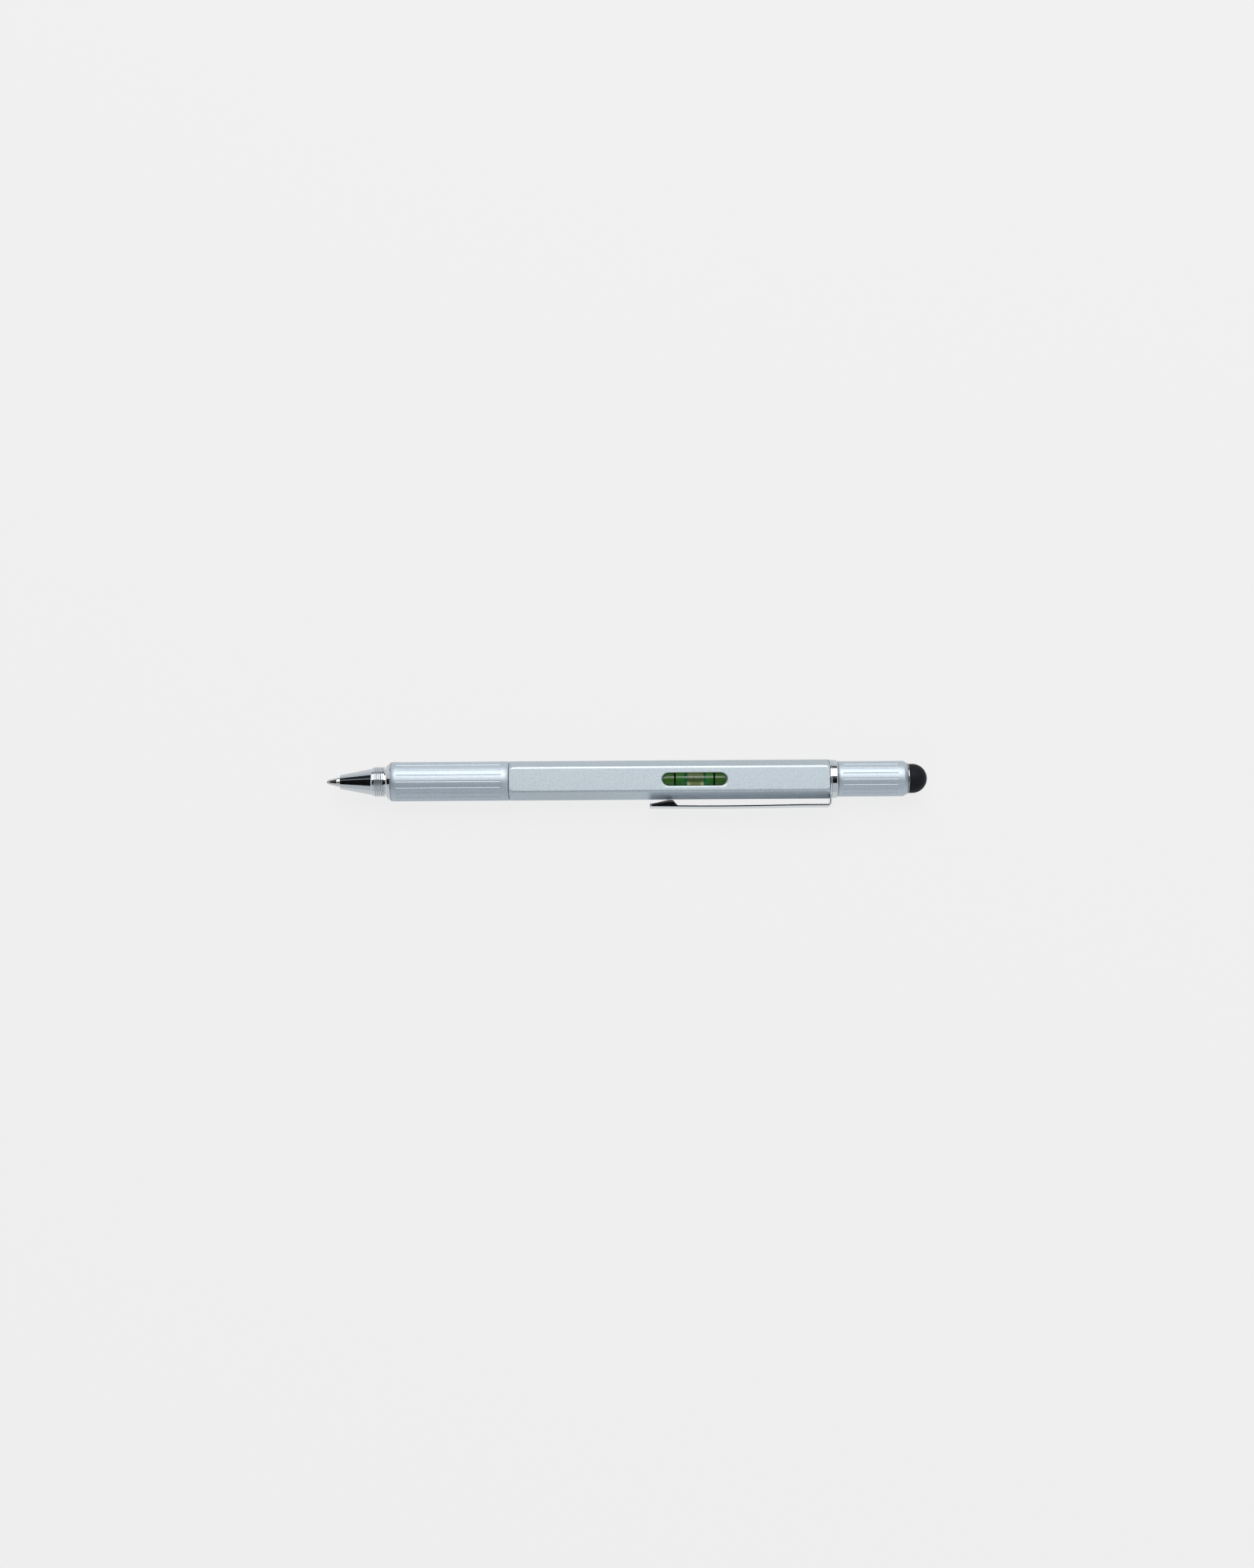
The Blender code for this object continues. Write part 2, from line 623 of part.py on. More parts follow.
def build_mechanism():
    brass = finish("drive_brass", (0.72, 0.56, 0.27), 1, 0.3)
    acetal = finish("cam_plastic", (0.12, 0.12, 0.13), 0, 0.45)
    bush_brass = finish("bush_brass", (0.68, 0.53, 0.27), 1, 0.35)
    core_brass = finish("core_brass", (0.66, 0.51, 0.25), 1, 0.35)

    flange_z = BARREL_Z + BUSH_LENGTH + 3 * SEAT_GAP
    drive_bore = DRIVE_RADIUS - DRIVE_WALL
    drive = turned(
        "drive_tube",
        [
            (DRIVE_RADIUS, SLOT_END_Z + DRIVE_REAR_LAND),
            (DRIVE_RADIUS, flange_z + DRIVE_FLANGE_LENGTH),
            (DRIVE_FLANGE_RADIUS, flange_z + DRIVE_FLANGE_LENGTH),
            (DRIVE_FLANGE_RADIUS, flange_z),
            (DRIVE_RADIUS, flange_z),
            (DRIVE_RADIUS, DRIVE_Z),
            (drive_bore, DRIVE_Z),
            (drive_bore, SLOT_END_Z + DRIVE_REAR_LAND),
        ],
        INNER_STEPS,
    )
    boolean(drive, "DIFFERENCE", straight_slot("drive_slot"))
    complete(drive, brass, twist)

    core = tube(
        "grip_core",
        GRIP_BORE_RADIUS - SLIDE_GAP,
        DRIVE_RADIUS + SLIDE_GAP,
        DRIVE_Z,
        GRIP_END_Z - CORE_REAR_GAP,
    )
    complete(core, core_brass, twist)

    turn_bore = DRIVE_RADIUS + TURN_GAP
    bush = tube("front_bush", CAM_RADIUS, turn_bore, BARREL_Z + SEAT_GAP, BARREL_Z + BUSH_LENGTH)
    complete(bush, bush_brass)

    cam_start = BARREL_Z + BUSH_LENGTH + SEAT_GAP
    pocket_end = flange_z + DRIVE_FLANGE_LENGTH + TURN_GAP
    pocket_radius = DRIVE_FLANGE_RADIUS + SLIDE_GAP
    cam = turned(
        "cam_sleeve",
        [
            (CAM_RADIUS, CAM_END_Z),
            (CAM_RADIUS, cam_start),
            (pocket_radius, cam_start),
            (pocket_radius, pocket_end),
            (turn_bore, pocket_end),
            (turn_bore, CAM_END_Z),
        ],
        INNER_STEPS,
    )
    boolean(cam, "DIFFERENCE", helical_slot("cam_slot"))
    complete(cam, acetal)


# Barrel
def rounded(corners, radius):
    """A convex outline with each corner replaced by an arc."""
    outline = []
    for i, corner in enumerate(corners):
        back = (Vector(corners[i - 1]) - Vector(corner)).normalized()
        on = (Vector(corners[(i + 1) % len(corners)]) - Vector(corner)).normalized()
        half = back.angle(on) / 2
        middle = Vector(corner) + (back + on).normalized() * radius / math.sin(half)
        start = -(Vector((on.y, -on.x)))
        swing = math.pi - 2 * half
        first = Vector((-back.y, back.x)) if start.dot(back) else start
        for step in range(CORNER_STEPS + 1):
            turn = swing * step / CORNER_STEPS
            arm = Matrix.Rotation(turn, 2) @ first
            outline.append(tuple(middle + arm * radius))
    return outline


def stadium(length, width, grow=0):
    """(y, z) points of a slot with round ends, round its own middle."""
    radius = width / 2 + grow
    reach = length / 2 - width / 2
    outline = []
    for side in (1, -1):
        for step in range(DOME_STEPS + 1):
            turn = math.pi * step / DOME_STEPS
            outline.append((side * radius * math.cos(turn), side * (reach + radius * math.sin(turn))))
    return outline


def window_cutter(name):
    """The window's slot, wider at the barrel's face for a bevelled edge."""
    face = BARREL_FACE_DISTANCE
    levels = ((0, 0), (face - WINDOW_EDGE, 0), (face, WINDOW_EDGE), (face + WINDOW_EDGE, 2 * WINDOW_EDGE))
    sections = [
        [
            Vector((x, y, WINDOW_MIDDLE_Z + z))
            for y, z in stadium(WINDOW_LENGTH, WINDOW_WIDTH, grow)
        ]
        for x, grow in levels
    ]
    return lofted(name, sections)


def build_barrel():
    aluminium = finish("barrel_aluminium", (0.50, 0.56, 0.62), 1, 0.35)
    face = BARREL_FACE_DISTANCE
    side = BARREL_FACE_HALF_WIDTH
    corners = [
        (face, side),
        (0, BARREL_CORNER_DISTANCE),
        (-face, side),
        (-face, -side),
        (0, -BARREL_CORNER_DISTANCE),
        (face, -side),
    ]
    outline = rounded(corners, BARREL_EDGE_RADIUS)
    barrel = lofted("barrel", [lined_up(outline, BARREL_Z), lined_up(outline, BARREL_END_Z)])

    rise_radius = BARREL_END_RADIUS + BARREL_CHAMFER_RISE
    beyond_radius = BARREL_END_RADIUS - BARREL_CHAMFER_RISE
    envelope = turned(
        "barrel_ends",
        [
            (0, BARREL_END_Z + BARREL_CHAMFER_LENGTH),
            (beyond_radius, BARREL_END_Z + BARREL_CHAMFER_LENGTH),
            (rise_radius, BARREL_END_Z - BARREL_CHAMFER_LENGTH),
            (rise_radius, BARREL_Z + BARREL_CHAMFER_LENGTH),
            (beyond_radius, BARREL_Z - BARREL_CHAMFER_LENGTH),
            (0, BARREL_Z - BARREL_CHAMFER_LENGTH),
        ],
    )
    boolean(barrel, "INTERSECT", envelope)

    mechanism_radius = CAM_RADIUS + SLIDE_GAP
    mechanism_end = CAM_END_Z + SEAT_GAP
    bore = turned(
        "barrel_bore",
        [
            (0, BARREL_END_Z + OVERRUN),
            (BARREL_BORE_RADIUS, BARREL_END_Z + OVERRUN),
            (BARREL_BORE_RADIUS, mechanism_end),
            (mechanism_radius, mechanism_end),
            (mechanism_radius, BARREL_Z - OVERRUN),
            (0, BARREL_Z - OVERRUN),
        ],
    )
    boolean(barrel, "DIFFERENCE", bore)
    boolean(barrel, "DIFFERENCE", window_cutter("window_slot"))
    complete(barrel, aluminium)


# Level vial in its cradle
def build_level():
    plastic = finish("cradle_plastic", (0.04, 0.04, 0.04), 0, 0.5)
    clear = finish("vial_acrylic", (0.9, 0.95, 0.9), 0, 0.05)
    green = finish("vial_green", (0.05, 0.3, 0.05), 0, 0.1)
    air = finish("bubble_air", (0.35, 0.4, 0.2), 0, 0.1)
    stopper = finish("vial_plug", (0.85, 0.85, 0.85), 0, 0.4)
    print_black = finish("line_black", (0.01, 0.01, 0.01), 0, 0.5)

    cradle = tube("vial_cradle", BARREL_BORE_RADIUS - SLIDE_GAP, 0, CRADLE_Z, CRADLE_END_Z)
    trough = []
    trough_radius = VIAL_RADIUS + CRADLE_GAP
    for step in range(2 * DOME_STEPS + 1):
        turn = math.pi / 2 + math.pi * step / (2 * DOME_STEPS)
        trough.append((VIAL_OFFSET + trough_radius * math.cos(turn), trough_radius * math.sin(turn)))
    trough += [(BARREL_BORE_RADIUS + OVERRUN, -trough_radius), (BARREL_BORE_RADIUS + OVERRUN, trough_radius)]
    ends = (VIAL_Z - CRADLE_GAP, VIAL_END_Z + CRADLE_GAP)
    boolean(cradle, "DIFFERENCE", lofted("vial_trough", [lined_up(trough, z) for z in ends]))
    complete(cradle, plastic)

    inner = VIAL_RADIUS - VIAL_WALL
    complete(shifted(tube("vial_tube", VIAL_RADIUS, inner, VIAL_Z, VIAL_END_Z)), clear)
    plug_radius = inner - SEAT_GAP
    front_end = VIAL_Z + VIAL_PLUG_LENGTH
    rear_start = VIAL_END_Z - VIAL_PLUG_LENGTH
    complete(shifted(tube("vial_plug_front", plug_radius, 0, VIAL_Z, front_end)), stopper)
    complete(shifted(tube("vial_plug_rear", plug_radius, 0, rear_start, VIAL_END_Z)), stopper)

    level = math.acos(VIAL_LEVEL_HEIGHT / plug_radius)
    liquid = []
    for step in range(INNER_STEPS + 1):
        turn = level + (2 * math.pi - 2 * level) * step / INNER_STEPS
        liquid.append((VIAL_OFFSET + plug_radius * math.cos(turn), plug_radius * math.sin(turn)))
    ends = (front_end + SEAT_GAP, rear_start - SEAT_GAP)
    complete(lofted("vial_liquid", [lined_up(liquid, z) for z in ends]), green)

    for name, side in (("vial_line_front", -1), ("vial_line_rear", 1)):
        start = WINDOW_MIDDLE_Z + side * LINE_SPACING / 2 - LINE_WIDTH / 2
        low = VIAL_RADIUS + SEAT_GAP / 2
        line = tube(name, low + LINE_HEIGHT, low, start, start + LINE_WIDTH)
        complete(shifted(line), print_black)

    bubble = bmesh.new()
    bmesh.ops.create_uvsphere(bubble, u_segments=20, v_segments=12, radius=1)
    floor = VIAL_LEVEL_HEIGHT + BUBBLE_GAP
    roof_radius = inner - BUBBLE_GAP
    half_width = math.sqrt(roof_radius**2 - floor**2) - BUBBLE_SIDE_GAP
    for corner in bubble.verts:
        y = corner.co.y * half_width
        top = math.sqrt(roof_radius**2 - y * y)
        x = (top + floor) / 2 + corner.co.x * (top - floor) / 2
        corner.co = (VIAL_OFFSET + x, y, WINDOW_MIDDLE_Z + corner.co.z * BUBBLE_LENGTH / 2)
    bmesh.ops.recalc_face_normals(bubble, faces=bubble.faces)
    bubble_mesh = bpy.data.meshes.new("vial_bubble")
    bubble.to_mesh(bubble_mesh)
    bubble.free()
    complete(add_object("vial_bubble", bubble_mesh), air, bubble_travel)


def shifted(made):
    """Moves a turned piece from the pen's axis to the vial's."""
    made.location.x = VIAL_OFFSET
    return made


# Clip
def clip_stations():
    """(place, inward, width, boss) down the clip's tab, round its bend and along its arm."""
    outer_z = COLLAR_Z + COLLAR_THICKNESS
    bend_y = CLIP_ROOT_DISTANCE - CLIP_BEND_RADIUS
    bend_z = outer_z - CLIP_BEND_RADIUS
    stations = []
    for step in range(CLIP_BEND_STEPS + 1):
        turn = math.pi / 2 * step / CLIP_BEND_STEPS
        outward = Vector((0, math.sin(turn), math.cos(turn)))
        place = Vector((0, bend_y, bend_z)) + outward * CLIP_BEND_RADIUS
        stations.append((place, -outward, CLIP_WIDTH, 0))
    boss_z = CLIP_END_Z + CLIP_BOSS_LENGTH
    arm_length = bend_z - CLIP_END_Z
    for step in range(1, CLIP_ARM_STEPS + 1):
        z = bend_z + (boss_z - bend_z) * step / CLIP_ARM_STEPS
        stations.append(arm_station(z, (bend_z - z) / arm_length, 0))
    for step in range(1, CLIP_BOSS_STEPS + 1):
        share = step / CLIP_BOSS_STEPS
        z = boss_z + (CLIP_END_Z - boss_z) * share
        stations.append(arm_station(z, (bend_z - z) / arm_length, boss_share(share)))
    return stations


# Heights of the boss from the arm's side to the clip's end, as (share of length, share of height)
BOSS_SHARES = ((0, 0), (0.08, 0.5), (0.25, 1), (0.5, 0.94), (0.75, 0.72), (0.9, 0.45), (1, 0.15))


def boss_share(along):
    """The boss's height at a share of its length."""
    for (start, low), (end, high) in zip(BOSS_SHARES, BOSS_SHARES[1:]):
        if along <= end:
            return low + (high - low) * (along - start) / (end - start)
    return BOSS_SHARES[-1][1]


def arm_station(z, along, boss):
    """One place on the bowed arm, whose width tapers to the end."""
    bowed = max(0, (along - CLIP_BOW_START_SHARE) / (1 - CLIP_BOW_START_SHARE))
    outer_y = CLIP_ROOT_DISTANCE + CLIP_BOW * math.sin(math.pi * bowed)
    width = CLIP_WIDTH + (CLIP_TIP_WIDTH - CLIP_WIDTH) * along
    rounding = max(0, (along - CLIP_ROUND_START_SHARE) / (1 - CLIP_ROUND_START_SHARE))
    width += (CLIP_END_WIDTH - width) * rounding * rounding
    return Vector((0, outer_y, z)), Vector((0, -1, 0)), width, boss


def build_clip():
    chrome = finish("clip_chrome", (0.74, 0.75, 0.77), 1, 0.08)
    collar_chrome = finish("collar_chrome", (0.74, 0.75, 0.77), 1, 0.08)
    collar_end = COLLAR_Z + COLLAR_THICKNESS
    collar = tube(
        "clip_collar", COLLAR_RADIUS, BARREL_BORE_RADIUS, COLLAR_Z, collar_end, ROUND_STEPS
    )
    complete(collar, collar_chrome)

    across_shares = [2 * i / CLIP_ACROSS_STEPS - 1 for i in range(CLIP_ACROSS_STEPS + 1)]
    seat_radius = COLLAR_RADIUS + CLIP_TOUCH_GAP
    stations = clip_stations()
    first_place, first_inward, first_width, _ = stations[0]
    root_outer = []
    root_inner = []
    for share in across_shares:
        x = share * first_width / 2
        y = math.sqrt(seat_radius**2 - x * x)
        root_outer.append(Vector((x, y, first_place.z)))
        root_inner.append(Vector((x, y, first_place.z)) + first_inward * CLIP_THICKNESS)
    sections = [root_outer + root_inner[::-1]]
    for i, (place, inward, width, boss) in enumerate(stations):
        crown = CLIP_CROWN * min(1, i / CLIP_BEND_STEPS)
        arm_inner = place.y - CLIP_THICKNESS
        depth = boss * (arm_inner - CLIP_BOSS_APEX)
        outer = []
        inner = []
        for share in across_shares:
            x = share * width / 2
            lift = crown * (1 - share * share)
            swell = depth * max(0, 1 - (2 * x / CLIP_BOSS_WIDTH) ** 2)
            outer.append(place + Vector((x, 0, 0)) - inward * lift)
            thick = CLIP_THICKNESS - lift * (1 - boss)
            inner.append(place + Vector((x, 0, 0)) + inward * (thick + swell))
        sections.append(outer + inner[::-1])
    complete(lofted("clip_arm", sections), chrome, clip_hinge)


# Rear bush, magnet and bit
def hexagon(across, steps):
    """(x, y) points round a hexagon, evenly spaced in angle."""
    outline = []
    for i in range(steps):
        turn = 2 * math.pi * i / steps
        from_flat = (turn + math.pi / 6) % (math.pi / 3) - math.pi / 6
        radius = across / 2 / math.cos(from_flat)
        outline.append((radius * math.cos(turn), radius * math.sin(turn)))
    return outline


def blade(radius, thickness):
    """(x, y) points round a circle that is cut flat on two sides."""
    limit = thickness / 2
    return [(max(-limit, min(limit, x)), y) for x, y in circle(radius, SMALL_STEPS)]


def fluted(radius, depth_share):
    """(x, y) points round a circle with four flutes between its cross arms."""
    outline = []
    for i in range(SMALL_STEPS):
        turn = 2 * math.pi * i / SMALL_STEPS
        arm = abs(math.cos(2 * turn)) ** 3
        reach = radius * (1 - depth_share * (1 - arm))
        outline.append((reach * math.cos(turn), reach * math.sin(turn)))
    return outline


def build_bit():
    chrome = finish("bush_chrome", (0.74, 0.75, 0.77), 1, 0.07)
    black = finish("magnet_black", (0.05, 0.05, 0.06), 1, 0.4)
    steel = finish("bit_steel", (0.35, 0.35, 0.36), 1, 0.3)

    front_radius = BARREL_BORE_RADIUS - SLIDE_GAP
    bush_z = MAGNET_Z - SEAT_GAP - BUSH_END_WALL
    bush = turned(
        "rear_bush",
        [
            (0, BUSH_END_Z),
            (CAP_THREAD_RADIUS, BUSH_END_Z),
            (CAP_THREAD_RADIUS, FLANGE_END_Z),
            (FLANGE_RADIUS - FLANGE_EDGE, FLANGE_END_Z),
            (FLANGE_RADIUS, FLANGE_END_Z - FLANGE_EDGE),
            (FLANGE_RADIUS, FLANGE_Z),
            (front_radius, FLANGE_Z),
            (front_radius, bush_z),
            (0, bush_z),
        ],
    )
    socket = hexagon(HEX_ACROSS + 2 * HEX_GAP, SMALL_STEPS)
    socket_cut = lofted("bit_socket", [lined_up(socket, z) for z in (SOCKET_Z, BUSH_END_Z + OVERRUN)])
    boolean(bush, "DIFFERENCE", socket_cut)
    pocket = tube("magnet_pocket", MAGNET_RADIUS + SLIDE_GAP, 0, MAGNET_Z - SEAT_GAP, SOCKET_Z + OVERRUN)
    boolean(bush, "DIFFERENCE", pocket)
    complete(bush, chrome)
    magnet = tube("bit_magnet", MAGNET_RADIUS, 0, MAGNET_Z, MAGNET_Z + MAGNET_LENGTH, SMALL_STEPS)
    complete(magnet, black)

    hexagonal = hexagon(HEX_ACROSS, SMALL_STEPS)
    shank = circle(BIT_SHANK_RADIUS, SMALL_STEPS)
    hex_z = BIT_Z + BIT_END_LENGTH
    hex_end_z = BIT_END_Z - BIT_END_LENGTH
    sections = [
        lined_up(blade(BIT_SHANK_RADIUS, BLADE_THICKNESS), BIT_Z),
        lined_up(shank, BIT_Z + BLADE_TAPER),
        lined_up(shank, hex_z - BIT_SHOULDER),
        lined_up(hexagonal, hex_z),
        lined_up(hexagonal, hex_end_z),
        lined_up(shank, hex_end_z + BIT_SHOULDER),
        lined_up(shank, BIT_END_Z - CROSS_TAPER - BIT_SHOULDER),
        lined_up(fluted(BIT_SHANK_RADIUS, FLUTE_SHARE), BIT_END_Z - CROSS_TAPER),
        lined_up(fluted(CROSS_TIP_RADIUS, FLUTE_SHARE), BIT_END_Z),
    ]
    complete(lofted("screwdriver_bit", sections), steel, bit_travel)


# Cap and stylus
def dome(radius, height, base):
    """(radius, z) points down a dome from its top to its foot."""
    outline = []
    for step in range(DOME_STEPS + 1):
        turn = math.pi / 2 * step / DOME_STEPS
        outline.append((radius * math.sin(turn), base + height * math.cos(turn)))
    return outline


def build_cap():
    aluminium = finish("cap_aluminium", (0.56, 0.61, 0.66), 1, 0.3)
    brass = finish("insert_brass", (0.68, 0.53, 0.27), 1, 0.35)
    dark = finish("stylus_ring_metal", (0.25, 0.27, 0.29), 1, 0.2)
    plug = finish("stylus_plastic", (0.06, 0.06, 0.06), 0, 0.5)
    rubber = finish("stylus_rubber", (0.012, 0.014, 0.018), 0, 0.6)

    cap = turned(
        "cap_sleeve",
        [
            (CAP_END_RADIUS, CAP_END_Z),
            (CAP_RADIUS, CAP_END_Z - CAP_END_CHAMFER),
            (CAP_RADIUS, CAP_Z + GRIP_EDGE),
            (CAP_RADIUS - GRIP_EDGE, CAP_Z),
            (CAP_BORE_RADIUS, CAP_Z),
            (CAP_BORE_RADIUS, CAP_BORE_END_Z),
            (CAP_HOLE_RADIUS, CAP_BORE_END_Z),
            (CAP_HOLE_RADIUS, CAP_END_Z),
        ],
    )
    groove_bars = grooves("cap_grooves", CAP_RADIUS, CAP_Z + CAP_GROOVE_START, CAP_END_Z - CAP_GROOVE_END)
    boolean(cap, "DIFFERENCE", groove_bars)
    complete(cap, aluminium, cap_travel)

    insert_z = CAP_Z + SEAT_GAP
    insert = tube(
        "cap_insert",
        CAP_BORE_RADIUS - SLIDE_GAP,
        CAP_THREAD_RADIUS + SLIDE_GAP,
        insert_z,
        insert_z + INSERT_LENGTH,
        ROUND_STEPS,
    )
    complete(insert, brass, cap_travel)

    neck_end = CAP_END_Z + STYLUS_NECK_LENGTH
    core = turned(
        "stylus_core",
        [
            (0, neck_end),
            (STYLUS_NECK_RADIUS, neck_end),
            (STYLUS_NECK_RADIUS, CAP_END_Z),
            (CAP_HOLE_RADIUS - SLIDE_GAP, CAP_END_Z),
            (CAP_HOLE_RADIUS - SLIDE_GAP, CAP_BORE_END_Z + SEAT_GAP),
            (0, CAP_BORE_END_Z + SEAT_GAP),
        ],
        INNER_STEPS,
    )
    complete(core, plug, cap_travel)

    neck_bore = STYLUS_NECK_RADIUS + SLIDE_GAP
    ring_end = STYLUS_RING_Z + STYLUS_RING_LENGTH
    ring = tube("stylus_ring", STYLUS_RING_RADIUS, neck_bore, STYLUS_RING_Z, ring_end, ROUND_STEPS)
    complete(ring, dark, cap_travel)

    dome_z = RUBBER_Z + RUBBER_STRAIGHT_LENGTH
    outer_height = RUBBER_LENGTH - RUBBER_STRAIGHT_LENGTH
    inner_z = neck_end + SEAT_GAP
    inner_height = PEN_LENGTH - RUBBER_WALL - inner_z
    outline = dome(RUBBER_RADIUS, outer_height, dome_z) + [(RUBBER_RADIUS, RUBBER_Z), (neck_bore, RUBBER_Z)]
    outline += dome(neck_bore, inner_height, inner_z)[::-1]
    complete(turned("stylus_tip", outline), rubber, cap_travel, math.radians(40))


build_refill()
build_grip()
build_mechanism()
build_barrel()
build_level()
build_clip()
build_bit()
build_cap()
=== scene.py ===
import math

import bmesh
import bpy
from mathutils import Matrix, Vector


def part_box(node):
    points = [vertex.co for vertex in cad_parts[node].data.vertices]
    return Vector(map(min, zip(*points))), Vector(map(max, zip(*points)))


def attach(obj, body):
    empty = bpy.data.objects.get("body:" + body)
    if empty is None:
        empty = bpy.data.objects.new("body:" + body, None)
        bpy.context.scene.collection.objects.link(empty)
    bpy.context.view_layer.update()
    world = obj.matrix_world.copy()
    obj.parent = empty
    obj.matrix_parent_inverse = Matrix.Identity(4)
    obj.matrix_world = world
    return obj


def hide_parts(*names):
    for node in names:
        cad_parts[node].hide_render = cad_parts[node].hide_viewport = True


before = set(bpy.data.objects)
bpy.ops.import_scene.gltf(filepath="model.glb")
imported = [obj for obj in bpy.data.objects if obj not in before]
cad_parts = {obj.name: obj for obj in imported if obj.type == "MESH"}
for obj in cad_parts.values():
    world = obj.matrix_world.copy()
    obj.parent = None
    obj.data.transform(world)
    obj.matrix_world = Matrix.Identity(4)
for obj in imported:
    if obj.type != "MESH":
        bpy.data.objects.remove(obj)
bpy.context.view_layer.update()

# Camera, floor and light
# A product table seen almost straight down. A wide softbox stands beyond the pen, and dark cards
# hang round the camera and at the pen's ends, so that chrome shows black bands.
MM = 0.001
PHOTO_DISTANCE = 555.2 * MM
PHOTO_ELEVATION = math.radians(85)
PHOTO_ROLL = math.radians(-0.37)
PHOTO_LENS = 51
PHOTO_AIM = (0.05 * MM, -0.94 * MM, 0)
CAMERA_REACH = (0.01, 10)
TABLE_SIZE = (6, 6)
TABLE_COLOUR = (0.70, 0.70, 0.70)
TABLE_GLOW = (0.893, 0.893, 0.893)
TABLE_GLOW_SHARE = 0.90
ROOM_COLOUR = (0.68, 0.70, 0.73)
SOFTBOX_SIZE = (0.76, 0.85)
SOFTBOX_DISTANCE = 1.0
SOFTBOX_TILT = math.radians(36.5)
SOFTBOX_POWER = 6.9
LAMP_COLOUR = (1.0, 0.975, 0.94)
BLACK = (0.004, 0.004, 0.004)
CHARCOAL = (0.04, 0.045, 0.05)
UMBER = (0.20, 0.18, 0.165)
# The cards round the camera: name, size, colour, tilt in degrees, distance and place aside.
CARDS = (
    ("camera_card", (0.50, 0.41), BLACK, -16.5, 0.85, 0),
    ("front_card", (0.50, 0.26), UMBER, 4.3, 0.87, 0),
    ("back_card", (0.90, 0.30), UMBER, 72, 1.1, 0),
    ("boom_card", (0.81, 1.10), BLACK, -11, 0.85, -0.79),
    ("nose_card", (0.80, 0.65), CHARCOAL, 44, 1.0, -0.80),
)
# The upright cards at the pen's ends: name, size, colour and place aside.
END_CARDS = (
    ("point_end_card", (0.8, 0.42), BLACK, -1.2),
    ("cap_end_card", (0.8, 1.0), CHARCOAL, 1.2),
)
END_CARD_HEIGHT = 0.42

grip_low, grip_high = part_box("grip_sleeve")
AXIS = Vector((0, (grip_low.y + grip_high.y) / 2, (grip_low.z + grip_high.z) / 2))


def new_object(name, mesh):
    """A new object in the scene, at the origin."""
    made = bpy.data.objects.new(name, mesh)
    bpy.context.scene.collection.objects.link(made)
    return made


def from_bmesh(name, shape):
    """A new object with the mesh of a bmesh, which is freed."""
    mesh = bpy.data.meshes.new(name)
    shape.to_mesh(mesh)
    shape.free()
    return new_object(name, mesh)


def flat_sheet(name, size):
    """A single flat face round the origin, facing up."""
    shape = bmesh.new()
    bmesh.ops.create_grid(shape, x_segments=1, y_segments=1, size=0.5)
    bmesh.ops.scale(shape, vec=(*size, 1), verts=shape.verts)
    return from_bmesh(name, shape)


def new_material(name, colour, metallic=0, roughness=0.5):
    """A material whose shader has its plain values set, ready for its nodes."""
    made = bpy.data.materials.new(name)
    made.use_nodes = True
    shader = made.node_tree.nodes["Principled BSDF"]
    shader.inputs["Base Color"].default_value = (*colour, 1)
    shader.inputs["Metallic"].default_value = metallic
    shader.inputs["Roughness"].default_value = roughness
    return made


def feed(tree, socket, value):
    """Links a socket to another socket, or sets its plain value."""
    if isinstance(value, bpy.types.NodeSocket):
        tree.links.new(value, socket)
    elif socket.type == "RGBA":
        socket.default_value = (*value, 1)
    else:
        socket.default_value = value


def add_node(tree, kind, given, **settings):
    """The outputs of a new node with these settings, and with inputs from sockets or values."""
    node = tree.nodes.new(kind)
    for name, value in settings.items():
        setattr(node, name, value)
    for name, value in given.items():
        feed(tree, node.inputs[name], value)
    return node.outputs


def math_node(tree, operation, first, *others):
    """Math nodes that take sockets and numbers one after the other."""
    for other in others or (0,):
        given = {0: first, 1: other}
        first = add_node(tree, "ShaderNodeMath", given, operation=operation)[0]
    return first


def leaned(made, tilt, distance, aside=0):
    """Places a lamp or card beyond the pen, tilted from overhead and square to the pen."""
    made.location = Vector((aside, math.sin(tilt) * distance, math.cos(tilt) * distance))
    made.rotation_euler = (-tilt, 0, 0)


def studio_card(name, size, colour, tilt, distance, aside=0):
    """A dark card for the chrome to reflect, which the camera doesn't see."""
    made = flat_sheet(name, size)
    made.data.materials.append(new_material(name + "_paint", colour, roughness=1))
    made.visible_camera = False
    leaned(made, tilt, distance, aside)
    return made


camera_data = bpy.data.cameras.new("photo_camera")
camera_data.lens = PHOTO_LENS
camera_data.clip_start, camera_data.clip_end = CAMERA_REACH
camera = new_object("photo_camera", camera_data)
aim = AXIS + Vector(PHOTO_AIM)
towards_camera = Vector((0, -math.cos(PHOTO_ELEVATION), math.sin(PHOTO_ELEVATION)))
camera.location = aim + towards_camera * PHOTO_DISTANCE
from_level = Matrix.Rotation(math.pi / 2 - PHOTO_ELEVATION, 3, "X")
camera.rotation_euler = (from_level @ Matrix.Rotation(PHOTO_ROLL, 3, "Z")).to_euler()
bpy.context.scene.camera = camera

